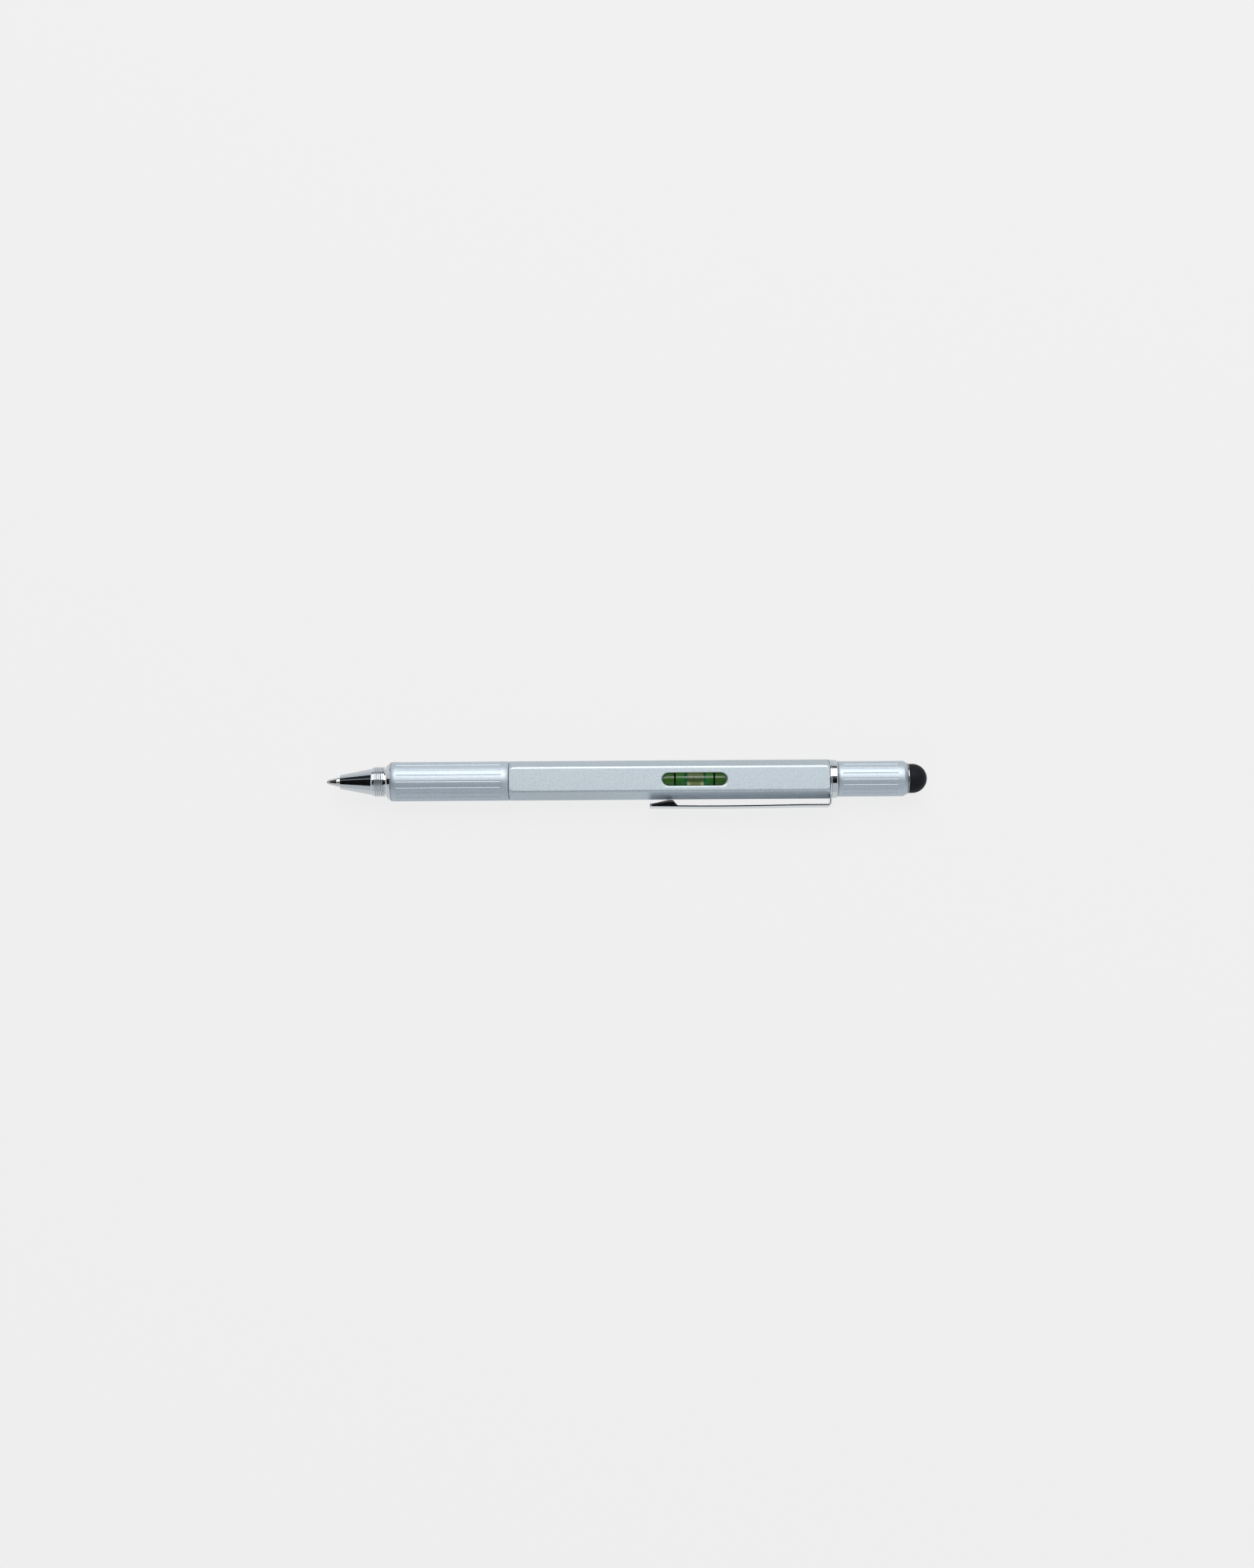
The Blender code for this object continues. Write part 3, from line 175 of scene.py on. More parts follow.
table = flat_sheet("table", TABLE_SIZE)
paper = new_material("table_paper", TABLE_COLOUR, roughness=0.9)
paper_tree = paper.node_tree
glow = add_node(paper_tree, "ShaderNodeEmission", {"Color": TABLE_GLOW})[0]
seen = add_node(paper_tree, "ShaderNodeLightPath", {})
glossy, through = seen["Is Glossy Ray"], seen["Is Transmission Ray"]
shown = math_node(paper_tree, "MAXIMUM", seen["Is Camera Ray"], glossy, through)
share = math_node(paper_tree, "MULTIPLY", shown, TABLE_GLOW_SHARE)
matt = paper_tree.nodes["Principled BSDF"].outputs[0]
blend = add_node(paper_tree, "ShaderNodeMixShader", {0: share, 1: matt, 2: glow})[0]
surface_socket = paper_tree.nodes["Material Output"].inputs["Surface"]
paper_tree.links.new(blend, surface_socket)
table.data.materials.append(paper)

softbox = bpy.data.lights.new("softbox", "AREA")
softbox.shape = "RECTANGLE"
softbox.size, softbox.size_y = SOFTBOX_SIZE
softbox.energy = SOFTBOX_POWER
softbox.color = LAMP_COLOUR
leaned(new_object("softbox", softbox), SOFTBOX_TILT, SOFTBOX_DISTANCE)
for name, size, colour, tilt, distance, aside in CARDS:
    studio_card(name, size, colour, math.radians(tilt), distance, aside)
for name, size, colour, aside in END_CARDS:
    end_card = studio_card(name, size, colour, 0, 0, aside)
    end_card.location.z = END_CARD_HEIGHT
    end_card.rotation_euler = (0, math.pi / 2, 0)

room = bpy.data.worlds.new("room")
room.use_nodes = True
room.node_tree.nodes["Background"].inputs["Color"].default_value = (*ROOM_COLOUR, 1)
bpy.context.scene.world = room
bpy.context.scene.view_settings.view_transform = "Standard"


# Refill
# A standard metal refill: a carbide ball in a turned nickel silver point, which is pressed into a
# drawn steel tube of ink with a plastic plug behind. A plastic carriage holds it by a steel pin.
ball_low, ball_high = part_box("refill_ball")
point_low, point_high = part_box("refill_tip")
tube_low, tube_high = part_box("refill_tube")
BALL_RADIUS = (ball_high.y - ball_low.y) / 2
POINT_RADIUS = (point_high.y - point_low.y) / 2
POINT_MOUTH_RADIUS = 0.52 * MM
POINT_CONE_LENGTH = 1.95 * MM
POINT_STEP_RADIUS = 1.02 * MM
POINT_STEP_LENGTH = 0.55 * MM
POINT_SEAT_DEPTH = 0.25 * MM
POINT_EDGE = 0.03 * MM
BALL_SHOWN = 0.28 * MM
BALL_GAP = 0.02 * MM
SPIGOT_GAP = 0.05 * MM
TUBE_WALL = 0.2 * MM
TUBE_GROOVE_FROM_FRONT = 1.3 * MM
TUBE_GROOVE_DEPTH = 0.12 * MM
TUBE_GROOVE_LENGTH = 0.5 * MM
TUBE_GROOVE_STEPS = 8
BALL_STEPS = 48
REFILL_STEPS = 64
ROUND_STEPS = 128
MERGE_DISTANCE = 0.0002 * MM
COLOUR, NUMBER, DIRECTION = "NodeSocketColor", "NodeSocketFloat", "NodeSocketVector"
TONE_RELIEF = 0.004 * MM
SKIN_RELIEF = 0.01 * MM


def merged(shape):
    """Joins a bmesh's corners that lie on one place, and turns its faces outwards."""
    bmesh.ops.remove_doubles(shape, verts=shape.verts, dist=MERGE_DISTANCE)
    bmesh.ops.recalc_face_normals(shape, faces=shape.faces)


def shaded(made, material, sharp_angle):
    """Smooth shading up to an angle in degrees, with even normals on the flat faces."""
    made.data.materials.clear()
    made.data.materials.append(material)
    made.data.shade_smooth()
    made.data.set_sharp_from_angle(angle=math.radians(sharp_angle))
    made.modifiers.new("even_normals", "WEIGHTED_NORMAL").keep_sharp = True


def finished(name, shape, material, sharp_angle=35):
    """Turns a bmesh into a smooth shaded object."""
    merged(shape)
    made = from_bmesh(name, shape)
    shaded(made, material, sharp_angle)
    return made


def rounded(shape, edges, width, segments):
    """Rounds these edges of a bmesh."""
    bmesh.ops.bevel(
        shape, geom=edges, offset=width, offset_type="OFFSET", segments=segments, profile=0.5,
        affect="EDGES", clamp_overlap=True, material=-1,
    )


def softened(shape, width, segments=2, angle=28):
    """Breaks every edge that is sharper than the angle, as a deburring tool would."""
    limit = math.radians(angle)
    sharp = [edge for edge in shape.edges if edge.is_manifold and edge.calc_face_angle() > limit]
    rounded(shape, sharp, width, segments)


def turned_shape(outline, centre=AXIS, steps=ROUND_STEPS):
    """An outline of (x, radius) points, spun about a line along the pen.

    It is joined into a ring first, unless one of its ends lies on that line."""
    shape = bmesh.new()
    corners = [shape.verts.new((x, centre.y, centre.z + radius)) for x, radius in outline]
    lines = [shape.edges.new(pair) for pair in zip(corners, corners[1:])]
    if min(outline[0][1], outline[-1][1]) > MERGE_DISTANCE:
        lines.append(shape.edges.new((corners[-1], corners[0])))
    bmesh.ops.spin(
        shape, geom=corners + lines, cent=centre, axis=(1, 0, 0), angle=2 * math.pi, steps=steps,
        use_merge=True,
    )
    merged(shape)
    return shape


def turned(name, outline, material, centre=AXIS, steps=ROUND_STEPS, edge=0):
    """A finished turned piece, with its edges broken."""
    shape = turned_shape(outline, centre, steps)
    if edge:
        softened(shape, edge)
    return finished(name, shape, material)


def tube(low_x, high_x, inner, outer):
    """The outline of a plain tube, or of a plain rod if its inner radius is 0."""
    return [(low_x, inner), (low_x, outer), (high_x, outer), (high_x, inner)]


def arc(x, radius, size, start, end, count=8):
    """(x, radius) points along an arc, with angles in degrees from the pen's direction."""
    turns = [math.radians(start + (end - start) * i / count) for i in range(count + 1)]
    return [(x + size * math.cos(turn), radius + size * math.sin(turn)) for turn in turns]


def surface_group(name, inputs):
    """A node group with these inputs, and outputs for a surface's colour, gloss and normal."""
    tree = bpy.data.node_groups.new(name, "ShaderNodeTree")
    for socket, kind, value in inputs:
        made = tree.interface.new_socket(socket, in_out="INPUT", socket_type=kind)
        made.default_value = value
    for socket, kind in (("Colour", COLOUR), ("Roughness", NUMBER), ("Normal", DIRECTION)):
        tree.interface.new_socket(socket, in_out="OUTPUT", socket_type=kind)
    given = tree.nodes.new("NodeGroupInput").outputs
    return tree, given, tree.nodes.new("NodeGroupOutput").inputs


def mixed_colour(tree, factor, first, second):
    """A colour Mix node whose inputs are sockets or values."""
    given = {0: factor, 6: first, 7: second}
    return add_node(tree, "ShaderNodeMix", given, data_type="RGBA")[2]


def ranged(tree, value, low, high, to_low=0.0, to_high=1.0):
    """A smooth Map Range from one span to another."""
    given = dict(enumerate((value, low, high, to_low, to_high)))
    return add_node(tree, "ShaderNodeMapRange", given, interpolation_type="SMOOTHSTEP")["Result"]


def noise(tree, vector, scale, detail=2.0, roughness=0.5):
    """A noise texture's factor."""
    given = {"Vector": vector, "Scale": scale, "Detail": detail, "Roughness": roughness}
    return add_node(tree, "ShaderNodeTexNoise", given)["Fac"]


def object_place(tree):
    """The object coordinates."""
    return add_node(tree, "ShaderNodeTexCoord", {})["Object"]


def stretched_place(tree, stretch):
    """Object coordinates, scaled by a vector so that a pattern runs out along an axis."""
    given = {0: object_place(tree), 1: stretch}
    return add_node(tree, "ShaderNodeVectorMath", given, operation="MULTIPLY")[0]


def bump(tree, height, strength, distance):
    """A normal from a height, whose depth is in metres."""
    given = {"Height": height, "Strength": strength, "Distance": distance}
    return add_node(tree, "ShaderNodeBump", given)["Normal"]


def make_metal_tone():
    """Node group: fine grain and slow drifts of tone over a metal, and its edges painted brighter,
    partly as wear and partly as a painted highlight along them.
    """
    tree, given, result = surface_group("metal_tone", [
        ("Colour", COLOUR, (0.5, 0.5, 0.5, 1)),
        ("Stretch", DIRECTION, (1, 1, 1)),
        ("Grain", NUMBER, 0.05),
        ("Drift", NUMBER, 0.05),
        ("Edge Wear And Highlight", NUMBER, 0.1),
        ("Roughness", NUMBER, 0.3),
        ("Depth", NUMBER, 0.2),
    ])
    place = stretched_place(tree, given["Stretch"])
    speck = noise(tree, place, scale=9000, roughness=0.6)
    mottle = noise(tree, place, scale=2600, detail=3, roughness=0.6)
    drift = noise(tree, place, scale=150)
    speck_offset = math_node(tree, "SUBTRACT", speck, 0.5)
    mottle_offset = math_node(tree, "SUBTRACT", mottle, 0.5)
    both = math_node(tree, "ADD", speck_offset, mottle_offset)
    grain = math_node(tree, "MULTIPLY", both, given["Grain"])
    drift_offset = math_node(tree, "SUBTRACT", drift, 0.5)
    drifted = math_node(tree, "MULTIPLY", drift_offset, given["Drift"])
    shift = math_node(tree, "ADD", grain, drifted)
    pointiness = add_node(tree, "ShaderNodeNewGeometry", {})["Pointiness"]
    # Painted highlight and wear: the edges, found by pointiness, are painted brighter.
    edge = ranged(tree, pointiness, 0.53, 0.62)
    worn_and_highlit_edge = math_node(tree, "MULTIPLY", edge, ranged(tree, drift, 0.35, 0.65), given["Edge Wear And Highlight"])
    given_tone = {0: given["Colour"], "Scale": math_node(tree, "ADD", shift, worn_and_highlit_edge, 1.0)}
    toned = add_node(tree, "ShaderNodeVectorMath", given_tone, operation="SCALE")[0]
    tree.links.new(toned, result["Colour"])
    smudge = math_node(tree, "MULTIPLY", drift_offset, 0.03)
    spread = math_node(tree, "ADD", smudge, math_node(tree, "MULTIPLY", speck_offset, 0.10))
    tree.links.new(math_node(tree, "ADD", given["Roughness"], spread), result["Roughness"])
    height = math_node(tree, "ADD", speck, mottle)
    tree.links.new(bump(tree, height, given["Depth"], TONE_RELIEF), result["Normal"])
    return tree


def surfaced(made, group, given):
    """Lets a group drive a material's shader, given values in the order of the group's inputs."""
    tree = made.node_tree
    surface = tree.nodes.new("ShaderNodeGroup")
    surface.node_tree = group
    for socket, value in zip(surface.inputs, given):
        feed(tree, socket, value)
    shader = tree.nodes["Principled BSDF"]
    for output, socket in zip(surface.outputs, ("Base Color", "Roughness", "Normal")):
        tree.links.new(output, shader.inputs[socket])
    return made


metal_tone = make_metal_tone()


def metal(name, colour, roughness, stretch=(1, 1, 1), grain=0.05, drift=0.05, edge_wear_and_highlight=0.1, depth=0.2):
    """A metal whose tone, gloss and surface follow the metal_tone group."""
    made = new_material(name, colour, metallic=1, roughness=roughness)
    return surfaced(made, metal_tone, (colour, stretch, grain, drift, edge_wear_and_highlight, roughness, depth))


def make_moulded_skin():
    """Node group: the faint orange peel, scuffs and dust of a moulded plastic or rubber."""
    tree, given, result = surface_group("moulded_skin", [
        ("Colour", COLOUR, (0.1, 0.1, 0.1, 1)),
        ("Dust Colour", COLOUR, (0.5, 0.5, 0.5, 1)),
        ("Dust", NUMBER, 0.1),
        ("Roughness", NUMBER, 0.5),
        ("Scale", NUMBER, 3000),
        ("Depth", NUMBER, 0.3),
    ])
    place = object_place(tree)
    peel = noise(tree, place, given["Scale"])
    patch = noise(tree, place, scale=420, detail=3, roughness=0.6)
    fleck = noise(tree, place, scale=7000, detail=1)
    dusty = ranged(tree, fleck, 0.62, 0.75)
    dusty = math_node(tree, "MULTIPLY", dusty, ranged(tree, patch, 0.4, 0.7))
    film = math_node(tree, "MULTIPLY", ranged(tree, patch, 0.3, 0.8), 0.25)
    amount = math_node(tree, "ADD", dusty, film)
    amount = math_node(tree, "MULTIPLY", amount, given["Dust"])
    body = mixed_colour(tree, amount, given["Colour"], given["Dust Colour"])
    tree.links.new(body, result["Colour"])
    gloss = math_node(tree, "SUBTRACT", patch, 0.5)
    gloss = math_node(tree, "MULTIPLY", gloss, 0.25)
    tree.links.new(math_node(tree, "ADD", given["Roughness"], gloss), result["Roughness"])
    tree.links.new(bump(tree, peel, given["Depth"], SKIN_RELIEF), result["Normal"])
    return tree


moulded_skin = make_moulded_skin()


def moulded(name, colour, roughness, dust=0.1, dust_colour=(0.5, 0.5, 0.5), scale=3000, depth=0.3):
    """A plastic or rubber whose colour, gloss and surface follow the moulded_skin group."""
    made = new_material(name, colour, roughness=roughness)
    return surfaced(made, moulded_skin, (colour, dust_colour, dust, roughness, scale, depth))


def carry_over(node, material):
    """Gives a CAD node that stays its procedural material."""
    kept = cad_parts[node]
    kept.data.materials.clear()
    kept.data.materials.append(material)


TURNED_MARKS = (4.0, 0.25, 0.25)
DRAWN_MARKS = (0.15, 3.0, 3.0)
ball_metal = metal("ball_carbide", (0.34, 0.34, 0.36), 0.10, grain=0.08, depth=0.05)
point_metal = metal(
    "point_nickel_silver", (0.60, 0.60, 0.58), 0.07, TURNED_MARKS, grain=0.06, depth=0.05
)
tube_metal = metal(
    "refill_tube_steel", (0.60, 0.60, 0.60), 0.24, DRAWN_MARKS, grain=0.14, depth=0.3
)

ball_outline = arc(ball_low.x + BALL_RADIUS, 0, BALL_RADIUS, 180, 0, BALL_STEPS // 2)
ball = turned("writing_ball", ball_outline, ball_metal, steps=BALL_STEPS)
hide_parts("refill_ball")
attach(ball, "refill")

mouth_x = ball_low.x + BALL_SHOWN
cone_end_x = mouth_x + POINT_CONE_LENGTH
step_end_x = cone_end_x + POINT_STEP_LENGTH
spigot_x = tube_low.x - SPIGOT_GAP
bore = POINT_RADIUS - TUBE_WALL
seat_radius = BALL_RADIUS + BALL_GAP
point_outline = [
    (point_high.x, 0),
    (point_high.x, bore),
    (spigot_x, bore),
    (spigot_x, POINT_RADIUS),
    (step_end_x, POINT_RADIUS),
    (cone_end_x, POINT_STEP_RADIUS),
    (mouth_x, POINT_MOUTH_RADIUS),
    (mouth_x, seat_radius),
    (mouth_x + POINT_SEAT_DEPTH, seat_radius),
    (mouth_x + POINT_SEAT_DEPTH, 0),
]
point = turned("refill_point", point_outline, point_metal, steps=REFILL_STEPS, edge=POINT_EDGE)
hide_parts("refill_tip")
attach(point, "refill")

groove_x = tube_low.x + TUBE_GROOVE_FROM_FRONT
tube_outline = [(tube_low.x, bore), (tube_low.x, POINT_RADIUS)]
for i in range(TUBE_GROOVE_STEPS + 1):
    share = i / TUBE_GROOVE_STEPS
    dip = TUBE_GROOVE_DEPTH * math.sin(math.pi * share) ** 2
    tube_outline.append((groove_x + TUBE_GROOVE_LENGTH * share, POINT_RADIUS - dip))
tube_outline += [(tube_high.x, POINT_RADIUS), (tube_high.x, bore)]
refill_tube = turned(
    "refill_drawn_tube", tube_outline, tube_metal, steps=REFILL_STEPS, edge=POINT_EDGE
)
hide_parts("refill_tube")
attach(refill_tube, "refill")

ink_blue = moulded("ink_blue_wet", (0.02, 0.03, 0.22), 0.2, dust=0.0, depth=0.05)
carry_over("refill_ink", ink_blue)
carry_over("refill_plug", moulded("plug_polypropylene", (0.7, 0.7, 0.68), 0.5, dust=0.05))
carry_over("refill_carriage", moulded("carriage_acetal", (0.80, 0.80, 0.76), 0.42, dust=0.05))
pin_steel = metal("pin_steel", (0.55, 0.55, 0.56), 0.2, TURNED_MARKS, grain=0.1)
carry_over("carriage_pin", pin_steel)

# Nose cone
# A chromed brass cone that the refill comes out of, with a ribbed band to turn it by and a
# thread behind, which screws into the grip.
nose_low, nose_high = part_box("nose_cone")
NOSE_CONE_LENGTH = 8.0 * MM
NOSE_TIP_RADIUS = 1.78 * MM
NOSE_TIP_ROUND = 0.18 * MM
NOSE_HOLE_RADIUS = 1.25 * MM
NOSE_HOLE_LENGTH = 3.5 * MM
NOSE_BORE_RADIUS = 2.2 * MM
NOSE_BASE_RADIUS = 3.28 * MM
BAND_LENGTH = 3.25 * MM
BAND_RADIUS = (nose_high.y - nose_low.y) / 2
BAND_EDGE = 0.06 * MM
BAND_LEAD = 0.28 * MM
BAND_LEAD_FOOT = 0.08 * MM
BAND_LEAD_RISE = 0.05 * MM
RIB_COUNT = 5
RIB_PITCH = 0.46 * MM
RIB_DEPTH = 0.24 * MM
RIB_STEPS = 8
RIB_FULLNESS = 0.3
END_RIB_LENGTH = 0.34 * MM
THREAD_CORE_RADIUS = 3.02 * MM
THREAD_CREST_RADIUS = 3.3 * MM
THREAD_PITCH = 0.6 * MM
THREAD_RELIEF = 0.5 * MM
THREAD_FOOT = 0.04 * MM
THREAD_FOOT_SHARE = 0.36
THREAD_CREST_SHARE = 0.2
THREAD_STEPS = 32

PLATE_COLOUR = (0.57, 0.61, 0.64)
chrome = metal(
    "nose_chrome_plate", PLATE_COLOUR, 0.05, grain=0.02, drift=0.04, edge_wear_and_highlight=0.05, depth=0.03
)


def thread_ridge(shape, start_x, end_x):
    """Adds a ridge that winds round the pen's axis as a thread, with both of its ends closed."""
    turns = (end_x - start_x) / THREAD_PITCH - 1
    half = THREAD_PITCH * THREAD_FOOT_SHARE
    crest = half * THREAD_CREST_SHARE
    foot = THREAD_CORE_RADIUS - THREAD_FOOT
    top = THREAD_CREST_RADIUS
    profile = ((-half, foot), (-crest, top), (crest, top), (half, foot))
    first_x = start_x + THREAD_PITCH / 2
    corners = [shape.verts.new((first_x + x, AXIS.y, AXIS.z + radius)) for x, radius in profile]
    bmesh.ops.spin(
        shape, geom=[shape.faces.new(corners)], cent=AXIS, axis=(1, 0, 0),
        dvec=(THREAD_PITCH / THREAD_STEPS, 0, 0), angle=2 * math.pi * turns,
        steps=round(THREAD_STEPS * turns),
    )


def ribs(start_x, high, low):
    """(x, radius) points along rounded ribs with narrow valleys between them."""
    points = []
    for rib in range(RIB_COUNT):
        for i in range(1, RIB_STEPS):
            share = i / RIB_STEPS
            lift = math.sin(math.pi * share) ** RIB_FULLNESS
            points.append((start_x + RIB_PITCH * (rib + share), low + (high - low) * lift))
        points.append((start_x + RIB_PITCH * (rib + 1), low))
    return points


cone_end_x = nose_low.x + NOSE_CONE_LENGTH
band_end_x = cone_end_x + BAND_LENGTH
rib_start_x = band_end_x - END_RIB_LENGTH - RIB_COUNT * RIB_PITCH
valley = BAND_RADIUS - RIB_DEPTH
nose_outline = [
    (nose_high.x, NOSE_BORE_RADIUS),
    (nose_high.x, THREAD_CORE_RADIUS),
    (band_end_x, THREAD_CORE_RADIUS),
    (band_end_x, BAND_RADIUS - BAND_EDGE),
    (band_end_x - BAND_EDGE, BAND_RADIUS),
    (band_end_x - END_RIB_LENGTH + BAND_EDGE, BAND_RADIUS),
    (band_end_x - END_RIB_LENGTH, valley),
]
nose_outline += ribs(rib_start_x, BAND_RADIUS, valley)[-2::-1]
nose_outline += [
    (rib_start_x, valley),
    (cone_end_x + BAND_LEAD, valley),
    (cone_end_x + BAND_LEAD * 0.6, valley + BAND_LEAD_RISE),
    (cone_end_x, NOSE_BASE_RADIUS + BAND_LEAD_FOOT),
    (cone_end_x - BAND_EDGE, NOSE_BASE_RADIUS),
]
tip_centre = (nose_low.x + NOSE_TIP_ROUND, NOSE_TIP_RADIUS - NOSE_TIP_ROUND)
nose_outline += arc(*tip_centre, NOSE_TIP_ROUND, 100, 180, 6)
nose_outline += [
    (nose_low.x, NOSE_HOLE_RADIUS),
    (nose_low.x + NOSE_HOLE_LENGTH, NOSE_HOLE_RADIUS),
    (nose_low.x + NOSE_HOLE_LENGTH + NOSE_BORE_RADIUS - NOSE_HOLE_RADIUS, NOSE_BORE_RADIUS),
]
nose_shape = turned_shape(nose_outline)
thread_ridge(nose_shape, band_end_x + THREAD_RELIEF, nose_high.x)
nose = finished("nose_cone_chromed", nose_shape, chrome)
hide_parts("nose_cone")
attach(nose, "nose")

# Bevelled ring
# A polished, chromed ring with a wide bevel, trapped between the nose cone and the grip.
ring_low, ring_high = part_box("grip_ring")
RING_REAR_RADIUS = (ring_high.y - ring_low.y) / 2
RING_FRONT_RADIUS = 4.0 * MM
RING_BORE_RADIUS = 3.4 * MM
RING_LAND = 0.12 * MM
RING_EDGE = 0.05 * MM
ring_chrome = metal(
    "ring_chrome_plate", PLATE_COLOUR, 0.07, TURNED_MARKS, grain=0.03, drift=0.03, depth=0.04
)
ring_outline = [
    (ring_high.x, RING_BORE_RADIUS),
    (ring_high.x, RING_REAR_RADIUS),
    (ring_high.x - RING_LAND, RING_REAR_RADIUS),
    (ring_low.x, RING_FRONT_RADIUS),
    (ring_low.x, RING_BORE_RADIUS),
]
ring = turned("bevelled_ring", ring_outline, ring_chrome, edge=RING_EDGE)
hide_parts("grip_ring")
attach(ring, "grip")

# Grip
# A turned aluminium sleeve with twenty narrow grooves milled along it, bead blasted and anodised
# silver. Turning it against the barrel brings the refill out and back.
GROOVE_COUNT = 20
GROOVE_PHASE = math.radians(4.5)
GROOVE_HALF_WIDTH = 0.18 * MM
GROOVE_DEPTH = 0.09 * MM
GROOVE_RUN_OUT = 0.35 * MM
GROOVE_END_SHARE = 0.35
RUN_OUT_SHARES = (0, 0.15, 0.4, 0.7, 1)
GRIP_GROOVE_START = 1.25 * MM
GRIP_GROOVE_END = 1.65 * MM
GRIP_RADIUS = (grip_high.y - grip_low.y) / 2
GRIP_BORE_RADIUS = 3.9 * MM
GRIP_TRIM = 0.1 * MM
SLEEVE_EDGE = 0.12 * MM
SLEEVE_SHARP_ANGLE = 50
ACROSS_SHARES = (-1.35, -1, -0.93, -0.75, -0.4, 0, 0.4, 0.75, 0.93, 1, 1.35)
LAND_STEPS = 3

grip_satin = metal("grip_anodised", (0.53, 0.60, 0.66), 0.54, grain=0.4, drift=0.04, depth=0.35)


def groove_turns(radius):
    """The angles of a sleeve's long edges: close in each groove and wide on the lands."""
    half = GROOVE_HALF_WIDTH / radius
    pitch = 2 * math.pi / GROOVE_COUNT
    turns = []
    for groove in range(GROOVE_COUNT):
        middle = GROOVE_PHASE + groove * pitch
        turns += [middle + half * share for share in ACROSS_SHARES]
        last = turns[-1]
        land = pitch - 2 * (last - middle)
        turns += [last + land * i / (LAND_STEPS + 1) for i in range(1, LAND_STEPS + 1)]
    return turns


def skinned(rows, joined):
    """A bmesh with one skin over rows of points, each row a ring: a grid drawn round and merged.

    The last row is joined to the first, or else the holes at both are filled."""
    rows = [row + row[:1] for row in (rows + rows[:1] if joined else rows)]
    shape = bmesh.new()
    grid = bmesh.ops.create_grid(
        shape, x_segments=len(rows[0]) - 1, y_segments=len(rows) - 1, size=1
    )
    for corner, place in zip(grid["verts"], (place for row in rows for place in row)):
        corner.co = place
    merged(shape)
    if not joined:
        bmesh.ops.holes_fill(shape, edges=shape.edges)
    return shape


def grooved_sleeve(name, outline, groove_start, groove_end, radius, material):
    """A sleeve from (x, radius) points once round its wall, with grooves in its outer side."""
    turns = groove_turns(radius)
    pitch = 2 * math.pi / GROOVE_COUNT
    run_out = [(GROOVE_RUN_OUT * share, math.sin(share * math.pi / 2)) for share in RUN_OUT_SHARES]
    stations = [(x, size, 0) for x, size in outline[:2]]
    stations += [(groove_start + along, radius, depth) for along, depth in run_out]
    stations += [(groove_end - along, radius, depth) for along, depth in reversed(run_out)]
    stations += [(x, size, 0) for x, size in outline[2:]]
    rows = []
    for x, size, depth in stations:
        half_width = GROOVE_HALF_WIDTH * max(GROOVE_END_SHARE, depth)
        row = []
        for turn in turns:
            offset = (turn - GROOVE_PHASE + pitch / 2) % pitch - pitch / 2
            across = min(1, abs(offset) * radius / half_width)
            reach = size - GROOVE_DEPTH * depth * (1 - across * across)
            row.append((x, AXIS.y + reach * math.cos(turn), AXIS.z + reach * math.sin(turn)))
        rows.append(row)
    return finished(name, skinned(rows, joined=True), material, SLEEVE_SHARP_ANGLE)


grip_outline = [
    (grip_low.x, GRIP_RADIUS - SLEEVE_EDGE),
    (grip_low.x + SLEEVE_EDGE, GRIP_RADIUS),
    (grip_high.x + GRIP_TRIM - SLEEVE_EDGE, GRIP_RADIUS),
    (grip_high.x + GRIP_TRIM, GRIP_RADIUS - SLEEVE_EDGE),
    (grip_high.x + GRIP_TRIM, GRIP_BORE_RADIUS),
    (grip_low.x, GRIP_BORE_RADIUS),
]
grip = grooved_sleeve(
    "grip_sleeve_anodised", grip_outline, grip_low.x + GRIP_GROOVE_START,
    grip_high.x - GRIP_GROOVE_END, GRIP_RADIUS, grip_satin,
)
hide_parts("grip_sleeve")
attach(grip, "grip")

# Twist mechanism
# Brass bushes and a slotted brass tube that the grip turns, inside a black acetal cam sleeve with
# a helical slot. It all lies inside the barrel and shows only past the joint.
drive_brass = metal(
    "drive_tube_brass", (0.72, 0.55, 0.26), 0.26, TURNED_MARKS, grain=0.14, depth=0.4
)
bush_brass = metal(
    "bush_brass_turned", (0.66, 0.50, 0.24), 0.32, TURNED_MARKS, grain=0.16, depth=0.5
)
carry_over("drive_tube", drive_brass)
carry_over("grip_core", bush_brass)
carry_over("front_bush", bush_brass)
cam_black = moulded("cam_acetal_black", (0.02, 0.02, 0.022), 0.42, dust=0.06)
carry_over("cam_sleeve", cam_black)

# Barrel
# An aluminium tube drawn with six flats, with a cone turned on both ends and a slot milled in one
# flat for the level. It is bead blasted and anodised silver blue. The slot's walls are matt, and
# painted lighter than the barrel as painted light, to lift the shade that falls in the slot.
barrel_low, barrel_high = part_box("barrel")
window_low, window_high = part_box("vial_tube")
FACE_DISTANCE = 4.25 * MM
FACE_HALF_WIDTH = 3.23 * MM
CORNER_DISTANCE = 4.945 * MM
FAR_EDGE_ROUND = 0.60 * MM
NEAR_EDGE_ROUND = 0.42 * MM
SIDE_EDGE_ROUND = 0.16 * MM
JOINT_TRIM = 0.1 * MM
EDGE_SEGMENTS = 8
END_RADIUS = 4.9 * MM
END_CHAMFER_LENGTH = 1.0 * MM
END_CHAMFER_RISE = 0.31 * MM
END_EDGE_ROUND = 0.18 * MM
END_EDGE_SEGMENTS = 3
END_EDGE_ANGLE = 1.0
UPRIGHT_TOLERANCE = 0.001 * MM
BARREL_BORE_RADIUS = 3.3 * MM
BORE_STEPS = 96
BORE_RELIEF = 0.3 * MM
BORE_RELIEF_LENGTH = 33.4 * MM
BARREL_EDGE = 0.04 * MM
CARVED_EDGE_ANGLE = 30
